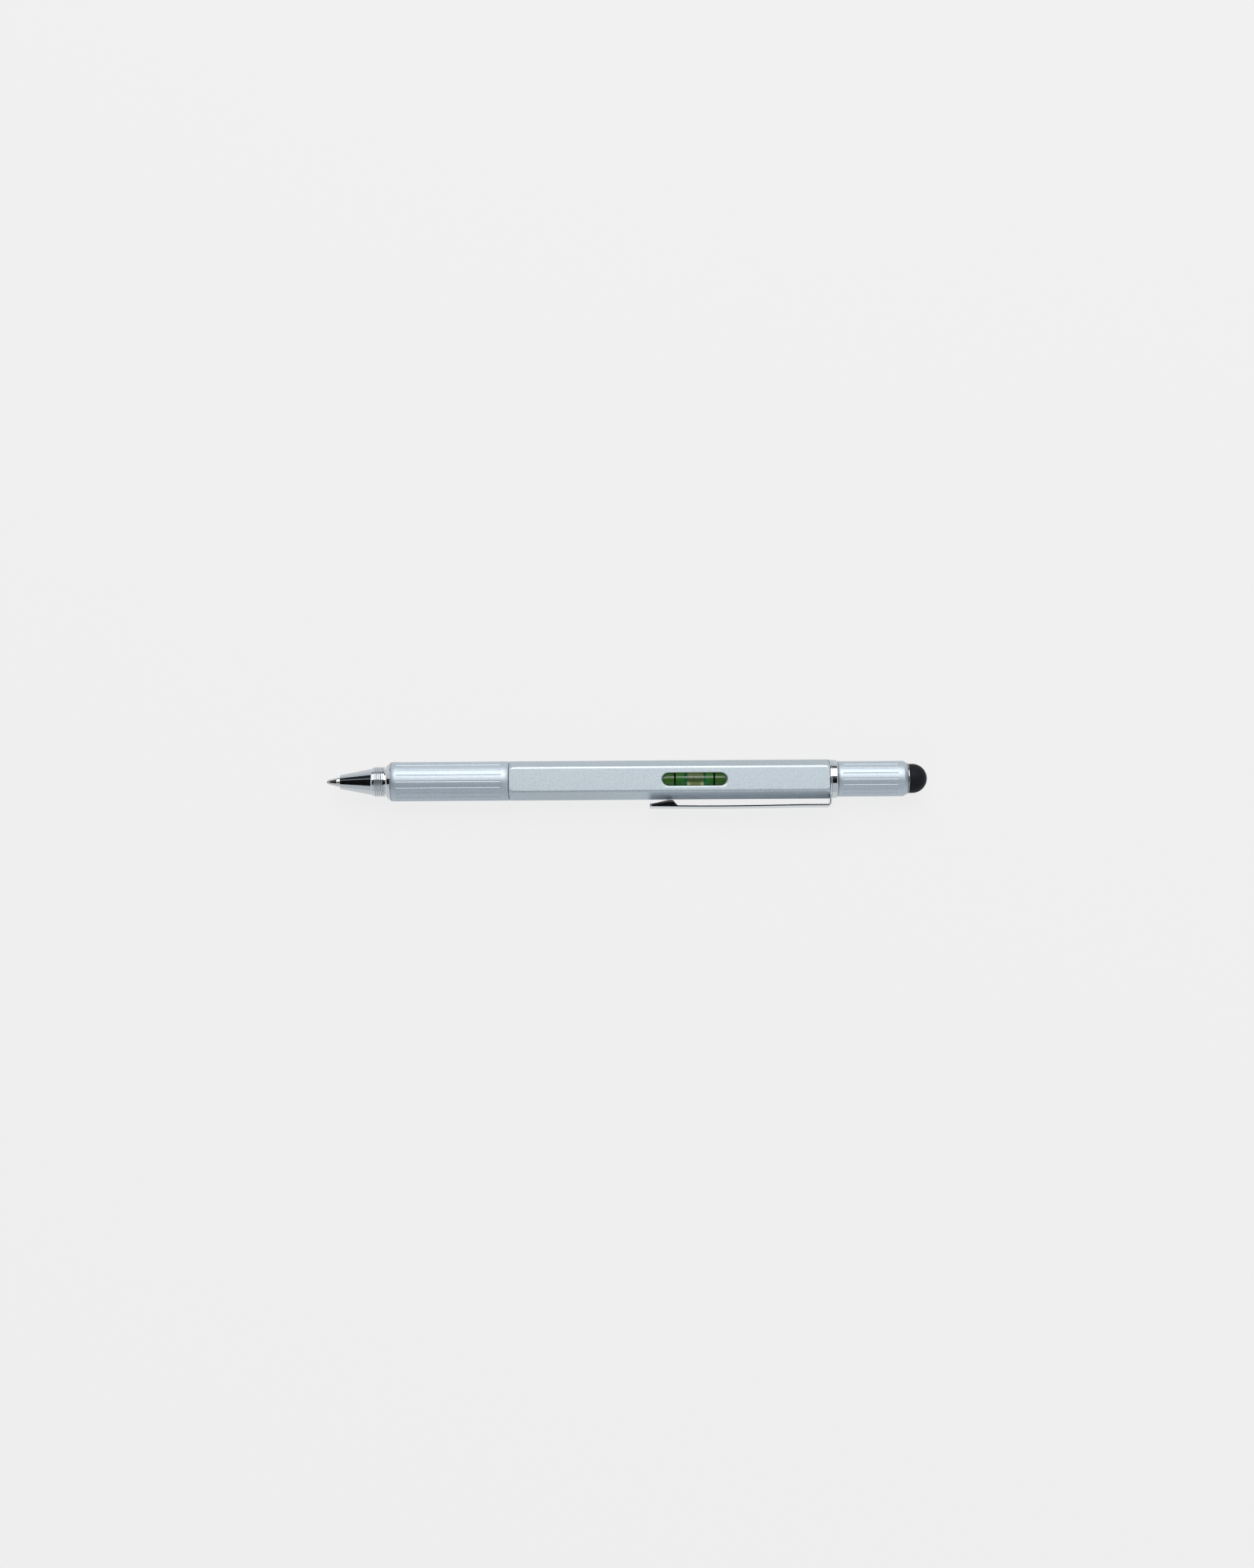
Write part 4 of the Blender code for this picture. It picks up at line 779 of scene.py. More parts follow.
CARVED_SHARP_ANGLE = 20
WINDOW_LENGTH = 16.0 * MM
WINDOW_WIDTH = 3.25 * MM
WINDOW_SHIFT = 0.12 * MM
WINDOW_RIM_ROUND = 0.42 * MM
FAR_RIM_SHARE = 0.15
RIM_TURNS = (0, 20, 40, 60, 78)
RIM_OVERRUN = 0.1 * MM
SLOT_FLOOR_HEIGHT = 1.5 * MM
SLOT_LEAN = 0.04
SLOT_WALL_HEIGHT = 2.5 * MM
SLOT_WALL_STEEPNESS = 0.4
WINDOW_STEPS = 64
BARREL_RINGS = 36
FACE_RING_INSETS = (0.75 * MM, 0.95 * MM)
OVERRUN = 2.0 * MM
barrel_satin = metal(
    "barrel_anodised", (0.51, 0.578, 0.632), 0.49, grain=0.5, drift=0.03, edge_wear_and_highlight=0.08, depth=0.5
)


def as_cutter(shape, name):
    """A hidden object from a bmesh, for one Boolean."""
    bmesh.ops.recalc_face_normals(shape, faces=shape.faces)
    made = from_bmesh(name, shape)
    made.hide_render = True
    return made


def carved(name, shape, cuts, material, edge, rings=()):
    """A piece with its Booleans applied, its edges broken, and rings cut in its long faces."""
    made = finished(name, shape, material)
    made.modifiers.clear()
    for operation, cutter in cuts:
        step = made.modifiers.new(cutter.name, "BOOLEAN")
        step.operation = operation
        step.solver = "EXACT"
        step.object = cutter
    broken = made.modifiers.new("broken_edges", "BEVEL")
    broken.width = edge
    broken.segments = 2
    broken.limit_method = "ANGLE"
    broken.angle_limit = math.radians(CARVED_EDGE_ANGLE)
    graph = bpy.context.evaluated_depsgraph_get()
    made.data = bpy.data.meshes.new_from_object(made.evaluated_get(graph))
    made.modifiers.clear()
    sliced = bmesh.new()
    sliced.from_mesh(made.data)
    for place, across in rings:
        everything = sliced.verts[:] + sliced.edges[:] + sliced.faces[:]
        bmesh.ops.bisect_plane(sliced, geom=everything, plane_co=place, plane_no=across)
    sliced.to_mesh(made.data)
    sliced.free()
    shaded(made, material, CARVED_SHARP_ANGLE)
    for _, cutter in cuts:
        bpy.data.objects.remove(cutter)
    return made


def hexagonal_bar(low_x, high_x):
    """The drawn bar: a six sided section along the pen, with its long edges rounded."""
    half, far_off = FACE_HALF_WIDTH, FACE_DISTANCE
    side = [(half, far_off), (CORNER_DISTANCE, 0), (half, -far_off)]
    section = side + [(-y, -z) for y, z in side]
    shape = bmesh.new()
    base = shape.faces.new([shape.verts.new((low_x, AXIS.y + y, AXIS.z + z)) for y, z in section])
    pulled = bmesh.ops.extrude_face_region(shape, geom=[base], use_keep_orig=True)["geom"]
    ends = [part for part in pulled if isinstance(part, bmesh.types.BMVert)]
    bmesh.ops.translate(shape, verts=ends, vec=(high_x - low_x, 0, 0))
    sides, far, near = [], [], []
    for edge in shape.edges:
        start, end = (corner.co for corner in edge.verts)
        if abs(start.x - end.x) > MM:
            beside = abs(start.z - AXIS.z) < MM
            (sides if beside else far if start.y > AXIS.y else near).append(edge)
    for edges, width in ((far, FAR_EDGE_ROUND), (near, NEAR_EDGE_ROUND), (sides, SIDE_EDGE_ROUND)):
        rounded(shape, edges, width, EDGE_SEGMENTS)
    end_edges = []
    for edge in shape.edges:
        start, end = (corner.co for corner in edge.verts)
        if abs(start.x - end.x) < UPRIGHT_TOLERANCE and edge.calc_face_angle() > END_EDGE_ANGLE:
            end_edges.append(edge)
    rounded(shape, end_edges, END_EDGE_ROUND, END_EDGE_SEGMENTS)
    bmesh.ops.recalc_face_normals(shape, faces=shape.faces)
    return shape


def slot_cutter(name, middle_x):
    """The milling cutter's path through the top flat, rounded over where it meets the flat."""
    face_z = AXIS.z + FACE_DISTANCE
    reach = (WINDOW_LENGTH - WINDOW_WIDTH) / 2
    levels = [(AXIS.z + SLOT_FLOOR_HEIGHT, 0)]
    for degrees in RIM_TURNS:
        turn = math.radians(degrees)
        sunk = WINDOW_RIM_ROUND * (1 - math.sin(turn))
        levels.append((face_z - sunk, WINDOW_RIM_ROUND * (1 - math.cos(turn))))
    last_z, last_grow = levels[-1]
    levels.append((last_z + RIM_OVERRUN, last_grow + RIM_OVERRUN * math.tan(turn)))
    turns = [2 * math.pi * (i + 0.5) / WINDOW_STEPS for i in range(WINDOW_STEPS)]
    outs = [Vector((math.cos(turn), math.sin(turn), 0)) for turn in turns]
    rows = []
    for z, grow in levels:
        middle_y = AXIS.y - WINDOW_SHIFT + (face_z - z) * SLOT_LEAN
        for out in outs:
            out.length = WINDOW_WIDTH / 2 + grow
            if out.y > 0:
                out.y *= 1 - grow * (1 - FAR_RIM_SHARE) / out.length
        rows.append([
            (middle_x + math.copysign(reach, out.x) + out.x, middle_y + out.y, z) for out in outs
        ])
    return as_cutter(skinned(rows, joined=False), name)


envelope_outline = [
    (barrel_low.x - END_CHAMFER_LENGTH, 0),
    (barrel_low.x - END_CHAMFER_LENGTH, END_RADIUS - END_CHAMFER_RISE),
    (barrel_low.x + 2 * END_CHAMFER_LENGTH, END_RADIUS + 2 * END_CHAMFER_RISE),
    (barrel_high.x - 2 * END_CHAMFER_LENGTH, END_RADIUS + 2 * END_CHAMFER_RISE),
    (barrel_high.x + END_CHAMFER_LENGTH, END_RADIUS - END_CHAMFER_RISE),
    (barrel_high.x + END_CHAMFER_LENGTH, 0),
]
bore_outline = [
    (barrel_low.x - OVERRUN, 0),
    (barrel_low.x - OVERRUN, BARREL_BORE_RADIUS + BORE_RELIEF),
    (barrel_low.x + BORE_RELIEF_LENGTH, BARREL_BORE_RADIUS + BORE_RELIEF),
    (barrel_low.x + BORE_RELIEF_LENGTH, BARREL_BORE_RADIUS),
    (barrel_high.x + OVERRUN, BARREL_BORE_RADIUS),
    (barrel_high.x + OVERRUN, 0),
]
window_middle_x = (window_low.x + window_high.x) / 2
barrel_length = barrel_high.x - barrel_low.x
barrel_rings = []
for i in range(BARREL_RINGS):
    place = Vector((barrel_low.x + barrel_length * (i + 0.5) / BARREL_RINGS, 0, 0))
    barrel_rings.append((place, Vector((1, 0, 0))))
for side in (-1, 1):
    for inset in FACE_RING_INSETS:
        place = AXIS + Vector((0, side * (FACE_HALF_WIDTH - inset), 0))
        barrel_rings.append((place, Vector((0, 1, 0))))
end_cones = as_cutter(turned_shape(envelope_outline), "end_cones")
barrel_bore = as_cutter(turned_shape(bore_outline, steps=BORE_STEPS), "barrel_bore")
barrel_cuts = (
    ("INTERSECT", end_cones),
    ("DIFFERENCE", barrel_bore),
    ("DIFFERENCE", slot_cutter("window_slot", window_middle_x)),
)
barrel_bar = hexagonal_bar(barrel_low.x - JOINT_TRIM, barrel_high.x)
barrel = carved(
    "barrel_anodised_tube", barrel_bar, barrel_cuts, barrel_satin, BARREL_EDGE, barrel_rings
)
# Painted light: the slot's walls are milled bare and matt, and painted lighter than the barrel to
# lift the shade that falls in the slot.
slot_wall_painted_light = metal("slot_wall_milled_painted_light", (0.68, 0.74, 0.78), 0.85, grain=0.2, drift=0.03, depth=0.4)
barrel.data.materials.append(slot_wall_painted_light)
slot_reach_x = WINDOW_LENGTH / 2 + WINDOW_RIM_ROUND
slot_reach_y = WINDOW_WIDTH / 2 + WINDOW_RIM_ROUND
for face in barrel.data.polygons:
    x, y, z = face.center - Vector((window_middle_x, AXIS.y, AXIS.z))
    in_slot = abs(x) < slot_reach_x and abs(y) < slot_reach_y and z > SLOT_WALL_HEIGHT
    face.material_index = int(in_slot and abs(face.normal.z) < SLOT_WALL_STEEPNESS)
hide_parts("barrel")
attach(barrel, "barrel")

# Level
# A clear acrylic vial of green liquid with an air bubble, plugged with white plastic at its ends
# and printed with two black rings. It lies in a black plastic cradle behind the window.
liquid_low, liquid_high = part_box("vial_liquid")
bubble_low, bubble_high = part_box("vial_bubble")
VIAL_CENTRE = Vector((0, AXIS.y, (window_low.z + window_high.z) / 2))
VIAL_RADIUS = (window_high.z - window_low.z) / 2
VIAL_BORE_RADIUS = 2.56 * MM
LIQUID_RADIUS = 2.49 * MM
BUBBLE_SINK = 0.3 * MM
BUBBLE_PROUD = 0.03 * MM
# The strength of a painted glow in the liquid and bubble, as a share of their colour.
PAINTED_GLOW = 0.25
LIQUID_EDGE = 0.05 * MM
VIAL_EDGE = 0.06 * MM
VIAL_STEPS = 96
# Spans across the vial of the liquid's painted light on its far side and painted shade on its near
# side.
LIQUID_PAINTED_LIGHT_SPAN = (0.3 * MM, 1.5 * MM)
LIQUID_PAINTED_SHADE_SPAN = (-0.5 * MM, -0.8 * MM)
BEYOND_LINES_SPAN = (5.0 * MM, 5.3 * MM)
LINE_OVERLAP = 0.01 * MM
LINE_EDGE = 0.02 * MM
BUBBLE_HALF_TURN = math.radians(50)
BUBBLE_FILM = 0.75 * MM
BUBBLE_DRIFT = 0.2 * MM
BUBBLE_SQUARENESS = 3.2
BUBBLE_STEPS = (72, 40)
# Spans of the bubble's painted shade at its ends and its painted highlight at its corners.
BUBBLE_END_SHARES = (0.69, 0.75)
BUBBLE_HIGHLIGHT_SHARES = (0.35, 0.66)
BUBBLE_NEAR_SPAN = (-0.5 * MM, -1.4 * MM)
BUBBLE_FAR_SPAN = (0.3 * MM, 1.3 * MM)
ACRYLIC_IOR = 1.49
bubble_middle_x = (bubble_low.x + bubble_high.x) / 2 + BUBBLE_DRIFT
bubble_reach = (bubble_high.x - bubble_low.x) / 2 + BUBBLE_FILM

clear = new_material("vial_acrylic_clear", (0.72, 0.78, 0.72), metallic=1, roughness=0.03)
tree = clear.node_tree
shader = tree.nodes["Principled BSDF"]
fresnel = add_node(tree, "ShaderNodeFresnel", {"IOR": ACRYLIC_IOR})[0]
backfacing = add_node(tree, "ShaderNodeNewGeometry", {})["Backfacing"]
outside = math_node(tree, "SUBTRACT", 1.0, backfacing)
tree.links.new(math_node(tree, "MULTIPLY", fresnel, outside), shader.inputs["Alpha"])
scratch = noise(tree, stretched_place(tree, DRAWN_MARKS), scale=1800)
tree.links.new(ranged(tree, scratch, 0.4, 0.8, 0.02, 0.08), shader.inputs["Roughness"])
vial_outline = tube(window_low.x, window_high.x, VIAL_BORE_RADIUS, VIAL_RADIUS)
vial = turned("vial_acrylic_tube", vial_outline, clear, VIAL_CENTRE, edge=VIAL_EDGE)
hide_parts("vial_tube")
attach(vial, "barrel")


def vial_place(tree, middle_x):
    """The distance along the vial from a middle, without its sign, and across it from its axis."""
    place = add_node(tree, "ShaderNodeSeparateXYZ", {0: object_place(tree)})
    along = math_node(tree, "SUBTRACT", place["X"], middle_x)
    across = math_node(tree, "SUBTRACT", place["Y"], VIAL_CENTRE.y)
    return math_node(tree, "ABSOLUTE", along), across


def with_painted_glow(made, body, shine):
    """Feeds a colour to a material's surface and to a painted glow of the same colour, which lifts
    the shade in the slot.
    """
    shader = made.node_tree.nodes["Principled BSDF"]
    for socket in ("Base Color", "Emission Color"):
        made.node_tree.links.new(body, shader.inputs[socket])
    shader.inputs["Emission Strength"].default_value = PAINTED_GLOW
    shader.inputs["Specular IOR Level"].default_value = shine
    return made


def make_green_liquid():
    """Green dyed liquid, with painted light and shade: painted lighter on its far side, where the
    slot's wall shades it, painted deep green on its near side against the reflection there, olive
    beyond the printed rings, and darker streaks.
    """
    made = new_material("vial_green_liquid", (0.05, 0.12, 0.04), roughness=0.12)
    tree = made.node_tree
    along, across = vial_place(tree, window_middle_x)
    # Painted light on the far side, which the slot's wall shades, and painted shade on the near
    # side.
    painted_light_far_side = ranged(tree, across, *LIQUID_PAINTED_LIGHT_SPAN)
    painted_shade_near_side = ranged(tree, across, *LIQUID_PAINTED_SHADE_SPAN)
    beyond_lines = ranged(tree, along, *BEYOND_LINES_SPAN)
    beyond_lines = math_node(tree, "MULTIPLY", beyond_lines, 0.5)
    swirl = noise(tree, stretched_place(tree, (0.12, 1, 1)), scale=2200)
    swirl = math_node(tree, "MULTIPLY", ranged(tree, swirl, 0.45, 0.75), 0.5)
    body = mixed_colour(tree, painted_light_far_side, (0.020, 0.10, 0.015), (0.085, 0.25, 0.045))
    body = mixed_colour(tree, painted_shade_near_side, body, (0.001, 0.085, 0.004))
    body = mixed_colour(tree, beyond_lines, body, (0.040, 0.075, 0.012))
    body = mixed_colour(tree, swirl, body, (0.008, 0.035, 0.006))
    return with_painted_glow(made, body, 0.15)


liquid_outline = tube(liquid_low.x, liquid_high.x, 0, LIQUID_RADIUS)
liquid_green = make_green_liquid()
liquid = turned(
    "vial_green_column", liquid_outline, liquid_green, VIAL_CENTRE, VIAL_STEPS, LIQUID_EDGE
)
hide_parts("vial_liquid")
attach(liquid, "barrel")


def make_bubble_air():
    """The bubble, in painted light and shade: olive, painted lighter at its near and far sides, a
    painted highlight flaring at its near corners, and painted teal shade where its ends curve
    away.
    """
    made = new_material("bubble_meniscus_painted_light", (0.09, 0.13, 0.06), roughness=0.08)
    tree = made.node_tree
    along, across = vial_place(tree, bubble_middle_x)
    end = ranged(tree, along, *(bubble_reach * share for share in BUBBLE_END_SHARES))
    highlight_flare_span = ranged(tree, along, *(bubble_reach * share for share in BUBBLE_HIGHLIGHT_SHARES))
    # Painted light: lighter near and far sides, a painted highlight at the near corners, painted
    # teal shade at the ends.
    near = ranged(tree, across, *BUBBLE_NEAR_SPAN)
    far = ranged(tree, across, *BUBBLE_FAR_SPAN)
    body = mixed_colour(tree, near, (0.040, 0.066, 0.025), (0.15, 0.175, 0.055))
    body = mixed_colour(tree, far, body, (0.17, 0.225, 0.075))
    painted_highlight_flare = math_node(tree, "MULTIPLY", highlight_flare_span, near)
    body = mixed_colour(tree, painted_highlight_flare, body, (0.38, 0.41, 0.16))
    body = mixed_colour(tree, end, body, (0.004, 0.075, 0.030))
    return with_painted_glow(made, body, 0.3)


bubble_shape = bmesh.new()
u_steps, v_steps = BUBBLE_STEPS
bmesh.ops.create_uvsphere(bubble_shape, u_segments=u_steps, v_segments=v_steps, radius=1)
for corner in bubble_shape.verts:
    along, across, up = corner.co
    squared = abs(along) ** BUBBLE_SQUARENESS + abs(across) ** BUBBLE_SQUARENESS
    spread = math.hypot(along, across) / max(squared ** (1 / BUBBLE_SQUARENESS), 1e-9)
    turn = across * spread * BUBBLE_HALF_TURN
    radius = LIQUID_RADIUS + (BUBBLE_PROUD if up > 0 else BUBBLE_SINK) * up
    x = bubble_middle_x + along * spread * bubble_reach
    corner.co = VIAL_CENTRE + Vector((x, radius * math.sin(turn), radius * math.cos(turn)))
bubble = finished("vial_air_bubble", bubble_shape, make_bubble_air())
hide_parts("vial_bubble")
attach(bubble, "bubble")

line_black = moulded("ring_print_black", (0.004, 0.006, 0.004), 0.6, dust=0.02)
line_black.node_tree.nodes["Principled BSDF"].inputs["Specular IOR Level"].default_value = 0.05
for node in ("vial_line_front", "vial_line_rear"):
    line_low, line_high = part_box(node)
    line_radius = (line_high.z - line_low.z) / 2
    line_outline = tube(line_low.x, line_high.x, VIAL_RADIUS + LINE_OVERLAP, line_radius)
    line_name = node + "_printed"
    line = turned(line_name, line_outline, line_black, VIAL_CENTRE, VIAL_STEPS, LINE_EDGE)
    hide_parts(node)
    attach(line, "barrel")

cradle_black = moulded("cradle_abs_black", (0.012, 0.014, 0.012), 0.45, dust=0.05)
carry_over("vial_cradle", cradle_black)
plug_white = moulded("vial_plug_white", (0.78, 0.78, 0.76), 0.4, dust=0.05)
carry_over("vial_plug_front", plug_white)
carry_over("vial_plug_rear", plug_white)

# Clip
# A chromed spring steel strip, pressed with a crown along its arm and a boss at its end, whose
# inner side is left matt and painted light, to lift the shade between it and the barrel. It bends
# round to a ring trapped between the barrel and the flange.
arm_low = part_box("clip_arm")[0]
collar_low, collar_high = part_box("clip_collar")
COLLAR_RADIUS = (collar_high.y - collar_low.y) / 2
CLIP_THICKNESS = 0.45 * MM
CLIP_WIDTH = 4.0 * MM
CLIP_TIP_WIDTH = 3.4 * MM
CLIP_END_WIDTH = 2.8 * MM
CLIP_CROWN = 0.42 * MM
CLIP_SIDE_LEAN = 0.12
CLIP_BEND_RADIUS = 0.9 * MM
CLIP_ROOT_DISTANCE = 6.75 * MM
CLIP_BOW = 0.18 * MM
CLIP_BOW_START_SHARE = 0.15
CLIP_ROUND_START_SHARE = 0.985
CLIP_BOSS_LENGTH = 7.1 * MM
CLIP_BOSS_APEX = 5.0 * MM
CLIP_SEAT_GAP = 0.05 * MM
CLIP_EDGE = 0.07 * MM
CLIP_EDGE_SEGMENTS = 3
CLIP_EDGE_ANGLE = 50
CLIP_SHARP_ANGLE = 45
CLIP_INSIDE_FACING = 0.7
COLLAR_EDGE = 0.1 * MM
BOSS_SHARES = (
    (0, 0), (0.04, 0.08), (0.09, 0.32), (0.14, 0.66), (0.19, 0.91), (0.24, 1), (0.30, 1),
    (0.36, 0.95), (1, 0.2),
)
CLIP_ALONG_STEPS = 140
CLIP_ACROSS_STEPS = 16
CLIP_SPACING = ((0, 0), (0.3, 0.1), (0.5, 0.8), (1, 1))

clip_chrome = metal(
    "clip_chrome_plate", (0.66, 0.70, 0.73), 0.06, DRAWN_MARKS, grain=0.03, drift=0.04, edge_wear_and_highlight=0.05,
    depth=0.04,
)
# Painted light: the inner side is painted pale, brighter than the chrome, against the shade
# between the clip and the barrel.
clip_inside_painted_light = metal(
    "clip_inside_plate_painted_light", (0.82, 0.84, 0.86), 0.75, DRAWN_MARKS, grain=0.10, drift=0.06
)
bend_x = collar_high.x - CLIP_BEND_RADIUS
bend_y = CLIP_ROOT_DISTANCE - CLIP_BEND_RADIUS
clip_foot_y = COLLAR_RADIUS + CLIP_SEAT_GAP
tab_length = bend_y - clip_foot_y
bend_length = CLIP_BEND_RADIUS * math.pi / 2
arm_length = bend_x - arm_low.x


def tabled(table, share):
    """The value at a share of a length, from a table of shares and values."""
    for (start, low), (end, high) in zip(table, table[1:]):
        if share <= end:
            return low + (high - low) * (share - start) / (end - start)
    return table[-1][1]


def past(share, start):
    """How far a share lies past its start, from 0 to 1."""
    return max(0, (share - start) / (1 - start))


def clip_station(travel):
    """The strip at a travel along it: outer place, inward way, width, crown and boss shares."""
    if travel < tab_length:
        return (collar_high.x, clip_foot_y + travel), (-1, 0), CLIP_WIDTH, 0, 0
    if travel < tab_length + bend_length:
        turn = (travel - tab_length) / CLIP_BEND_RADIUS
        out_x, out_y = math.cos(turn), math.sin(turn)
        place = (bend_x + CLIP_BEND_RADIUS * out_x, bend_y + CLIP_BEND_RADIUS * out_y)
        return place, (-out_x, -out_y), CLIP_WIDTH, turn / (math.pi / 2), 0
    along = min(1, (travel - tab_length - bend_length) / arm_length)
    x = bend_x - (travel - tab_length - bend_length)
    y = CLIP_ROOT_DISTANCE + CLIP_BOW * math.sin(math.pi * past(along, CLIP_BOW_START_SHARE))
    width = CLIP_WIDTH + (CLIP_TIP_WIDTH - CLIP_WIDTH) * along
    rounding = past(along, CLIP_ROUND_START_SHARE)
    width += (CLIP_END_WIDTH - width) * (1 - math.sqrt(1 - rounding * rounding))
    boss = tabled(BOSS_SHARES, max(0, (arm_low.x + CLIP_BOSS_LENGTH - x) / CLIP_BOSS_LENGTH))
    return (x, y), (0, -1), width, 1, boss


def clip_arm_shape():
    """The strip's outer and inner skins from two grids, joined round their rims."""
    shape = bmesh.new()
    for inner in (False, True):
        grid = bmesh.ops.create_grid(
            shape, x_segments=CLIP_ALONG_STEPS, y_segments=CLIP_ACROSS_STEPS, size=1
        )
        for corner in grid["verts"]:
            across = corner.co.y
            travel = tabled(CLIP_SPACING, (corner.co.x + 1) / 2)
            travel *= tab_length + bend_length + arm_length
            (x, y), (in_x, in_y), width, crowned, boss = clip_station(travel)
            z = across * width / 2
            lift = CLIP_CROWN * crowned * (1 - across * across)
            move = -lift
            if inner:
                swell = boss * (y - CLIP_THICKNESS - CLIP_BOSS_APEX)
                move = CLIP_THICKNESS - lift * (1 - boss) + swell
                z += across * CLIP_SIDE_LEAN * (move + lift)
            if travel < CLIP_THICKNESS:
                y = math.sqrt(clip_foot_y ** 2 - z * z) + travel
            corner.co = (x + in_x * move, AXIS.y - y - in_y * move, AXIS.z + z)
    rims = [edge for edge in shape.edges if edge.is_boundary]
    bmesh.ops.bridge_loops(shape, edges=rims)
    bmesh.ops.recalc_face_normals(shape, faces=shape.faces)
    softened(shape, CLIP_EDGE, CLIP_EDGE_SEGMENTS, CLIP_EDGE_ANGLE)
    return shape


clip_arm = finished("clip_arm_chromed", clip_arm_shape(), clip_chrome, CLIP_SHARP_ANGLE)
clip_arm.data.materials.append(clip_inside_painted_light)
for face in clip_arm.data.polygons:
    face.material_index = int(face.normal.y > CLIP_INSIDE_FACING)
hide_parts("clip_arm")
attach(clip_arm, "clip")

collar_outline = tube(collar_low.x, collar_high.x, BARREL_BORE_RADIUS, COLLAR_RADIUS)
collar = turned("clip_collar_chromed", collar_outline, clip_chrome, edge=COLLAR_EDGE)
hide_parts("clip_collar")
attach(collar, "barrel")

# Rear bush and bit
# A chromed bush that closes the barrel, with a flange, a thread for the cap and a hexagonal
# socket. A magnet at its foot holds the steel screwdriver bit.
bush_low, bush_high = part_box("rear_bush")
cap_low, cap_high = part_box("cap_sleeve")
FLANGE_RADIUS = (bush_high.y - bush_low.y) / 2
FLANGE_ROUND = 0.4 * MM
FLANGE_GAP = 0.05 * MM
BUSH_LEAD = 0.2 * MM
BUSH_EDGE = 0.04 * MM
RIDGE_END_GAP = 0.1 * MM
SOCKET_ACROSS = 4.1 * MM
SOCKET_DEPTH = 19.0 * MM
SOCKET_OVERRUN = 1.0 * MM
SIXTH_TURN_HALF = math.pi / 6
bush_chrome = metal(
    "bush_chrome_plate", PLATE_COLOUR, 0.06, TURNED_MARKS, grain=0.03, drift=0.04, depth=0.04
)
flange_x = collar_high.x + FLANGE_GAP
flange_end_x = cap_low.x - FLANGE_GAP
front_radius = BARREL_BORE_RADIUS - FLANGE_GAP
bush_outline = [
    (bush_low.x, 0),
    (bush_low.x, front_radius),
    (flange_x, front_radius),
    (flange_x, FLANGE_RADIUS),
    (flange_end_x - FLANGE_ROUND, FLANGE_RADIUS),
]
bush_outline += arc(flange_end_x - FLANGE_ROUND, FLANGE_RADIUS - FLANGE_ROUND, FLANGE_ROUND, 90, 0)
bush_outline += [
    (flange_end_x, THREAD_CORE_RADIUS), (bush_high.x - BUSH_LEAD, THREAD_CORE_RADIUS),
    (bush_high.x, THREAD_CORE_RADIUS - BUSH_LEAD), (bush_high.x, 0),
]
socket_length = SOCKET_DEPTH + SOCKET_OVERRUN
socket_middle_x = bush_high.x + SOCKET_OVERRUN - socket_length / 2
socket_radius = SOCKET_ACROSS / 2 / math.cos(SIXTH_TURN_HALF)
along_pen = Matrix.Rotation(math.pi / 2, 4, "Y") @ Matrix.Rotation(SIXTH_TURN_HALF, 4, "Z")
socket_shape = bmesh.new()
bmesh.ops.create_cone(
    socket_shape, cap_ends=True, segments=6, radius1=socket_radius, radius2=socket_radius,
    depth=socket_length, matrix=Matrix.Translation((socket_middle_x, AXIS.y, AXIS.z)) @ along_pen,
)
bush_cuts = [("DIFFERENCE", as_cutter(socket_shape, "hex_socket"))]
bush = carved(
    "rear_bush_chromed", turned_shape(bush_outline), bush_cuts, bush_chrome, BUSH_EDGE
)
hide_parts("rear_bush")
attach(bush, "barrel")

cap_thread_shape = bmesh.new()
thread_ridge(cap_thread_shape, flange_end_x + THREAD_RELIEF, bush_high.x - RIDGE_END_GAP)
cap_thread = finished("cap_thread_ridge", cap_thread_shape, bush_chrome)
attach(cap_thread, "barrel")

carry_over("bit_magnet", metal("magnet_nickel", (0.42, 0.41, 0.38), 0.22, grain=0.06))
bit_steel = metal(
    "bit_tool_steel", (0.28, 0.28, 0.29), 0.34, DRAWN_MARKS, grain=0.2, drift=0.2, edge_wear_and_highlight=0.8,
    depth=0.6,
)
carry_over("screwdriver_bit", bit_steel)

# Cap
# A grooved aluminium sleeve, blasted and anodised like the grip, screwed over the bit. A brass
# insert inside it carries the thread.
CAP_RADIUS = (cap_high.y - cap_low.y) / 2
CAP_BORE_RADIUS = 3.8 * MM
CAP_END_RADIUS = 3.85 * MM
CAP_END_CHAMFER = 0.9 * MM
CAP_HOLE_RADIUS = 2.9 * MM
CAP_BORE_LENGTH = 14.2 * MM
CAP_CHAMFER_LEAD = 0.1 * MM
CAP_CHAMFER_DROP = 0.02 * MM
CAP_LIP = 0.04 * MM
CAP_LIP_DROP = 0.06 * MM
CAP_GROOVE_START = 1.0 * MM
CAP_GROOVE_END = 2.35 * MM
cap_satin = metal("cap_anodised", (0.53, 0.60, 0.66), 0.54, grain=0.4, drift=0.04, depth=0.35)
cap_outline = [
    (cap_low.x, CAP_RADIUS - SLEEVE_EDGE),
    (cap_low.x + SLEEVE_EDGE, CAP_RADIUS),
    (cap_high.x - CAP_END_CHAMFER - CAP_CHAMFER_LEAD, CAP_RADIUS),
    (cap_high.x - CAP_END_CHAMFER, CAP_RADIUS - CAP_CHAMFER_DROP),
    (cap_high.x - CAP_LIP, CAP_END_RADIUS),
    (cap_high.x, CAP_END_RADIUS - CAP_LIP_DROP),
    (cap_high.x, CAP_HOLE_RADIUS),
    (cap_low.x + CAP_BORE_LENGTH, CAP_HOLE_RADIUS),
    (cap_low.x + CAP_BORE_LENGTH, CAP_BORE_RADIUS),
    (cap_low.x, CAP_BORE_RADIUS),
]
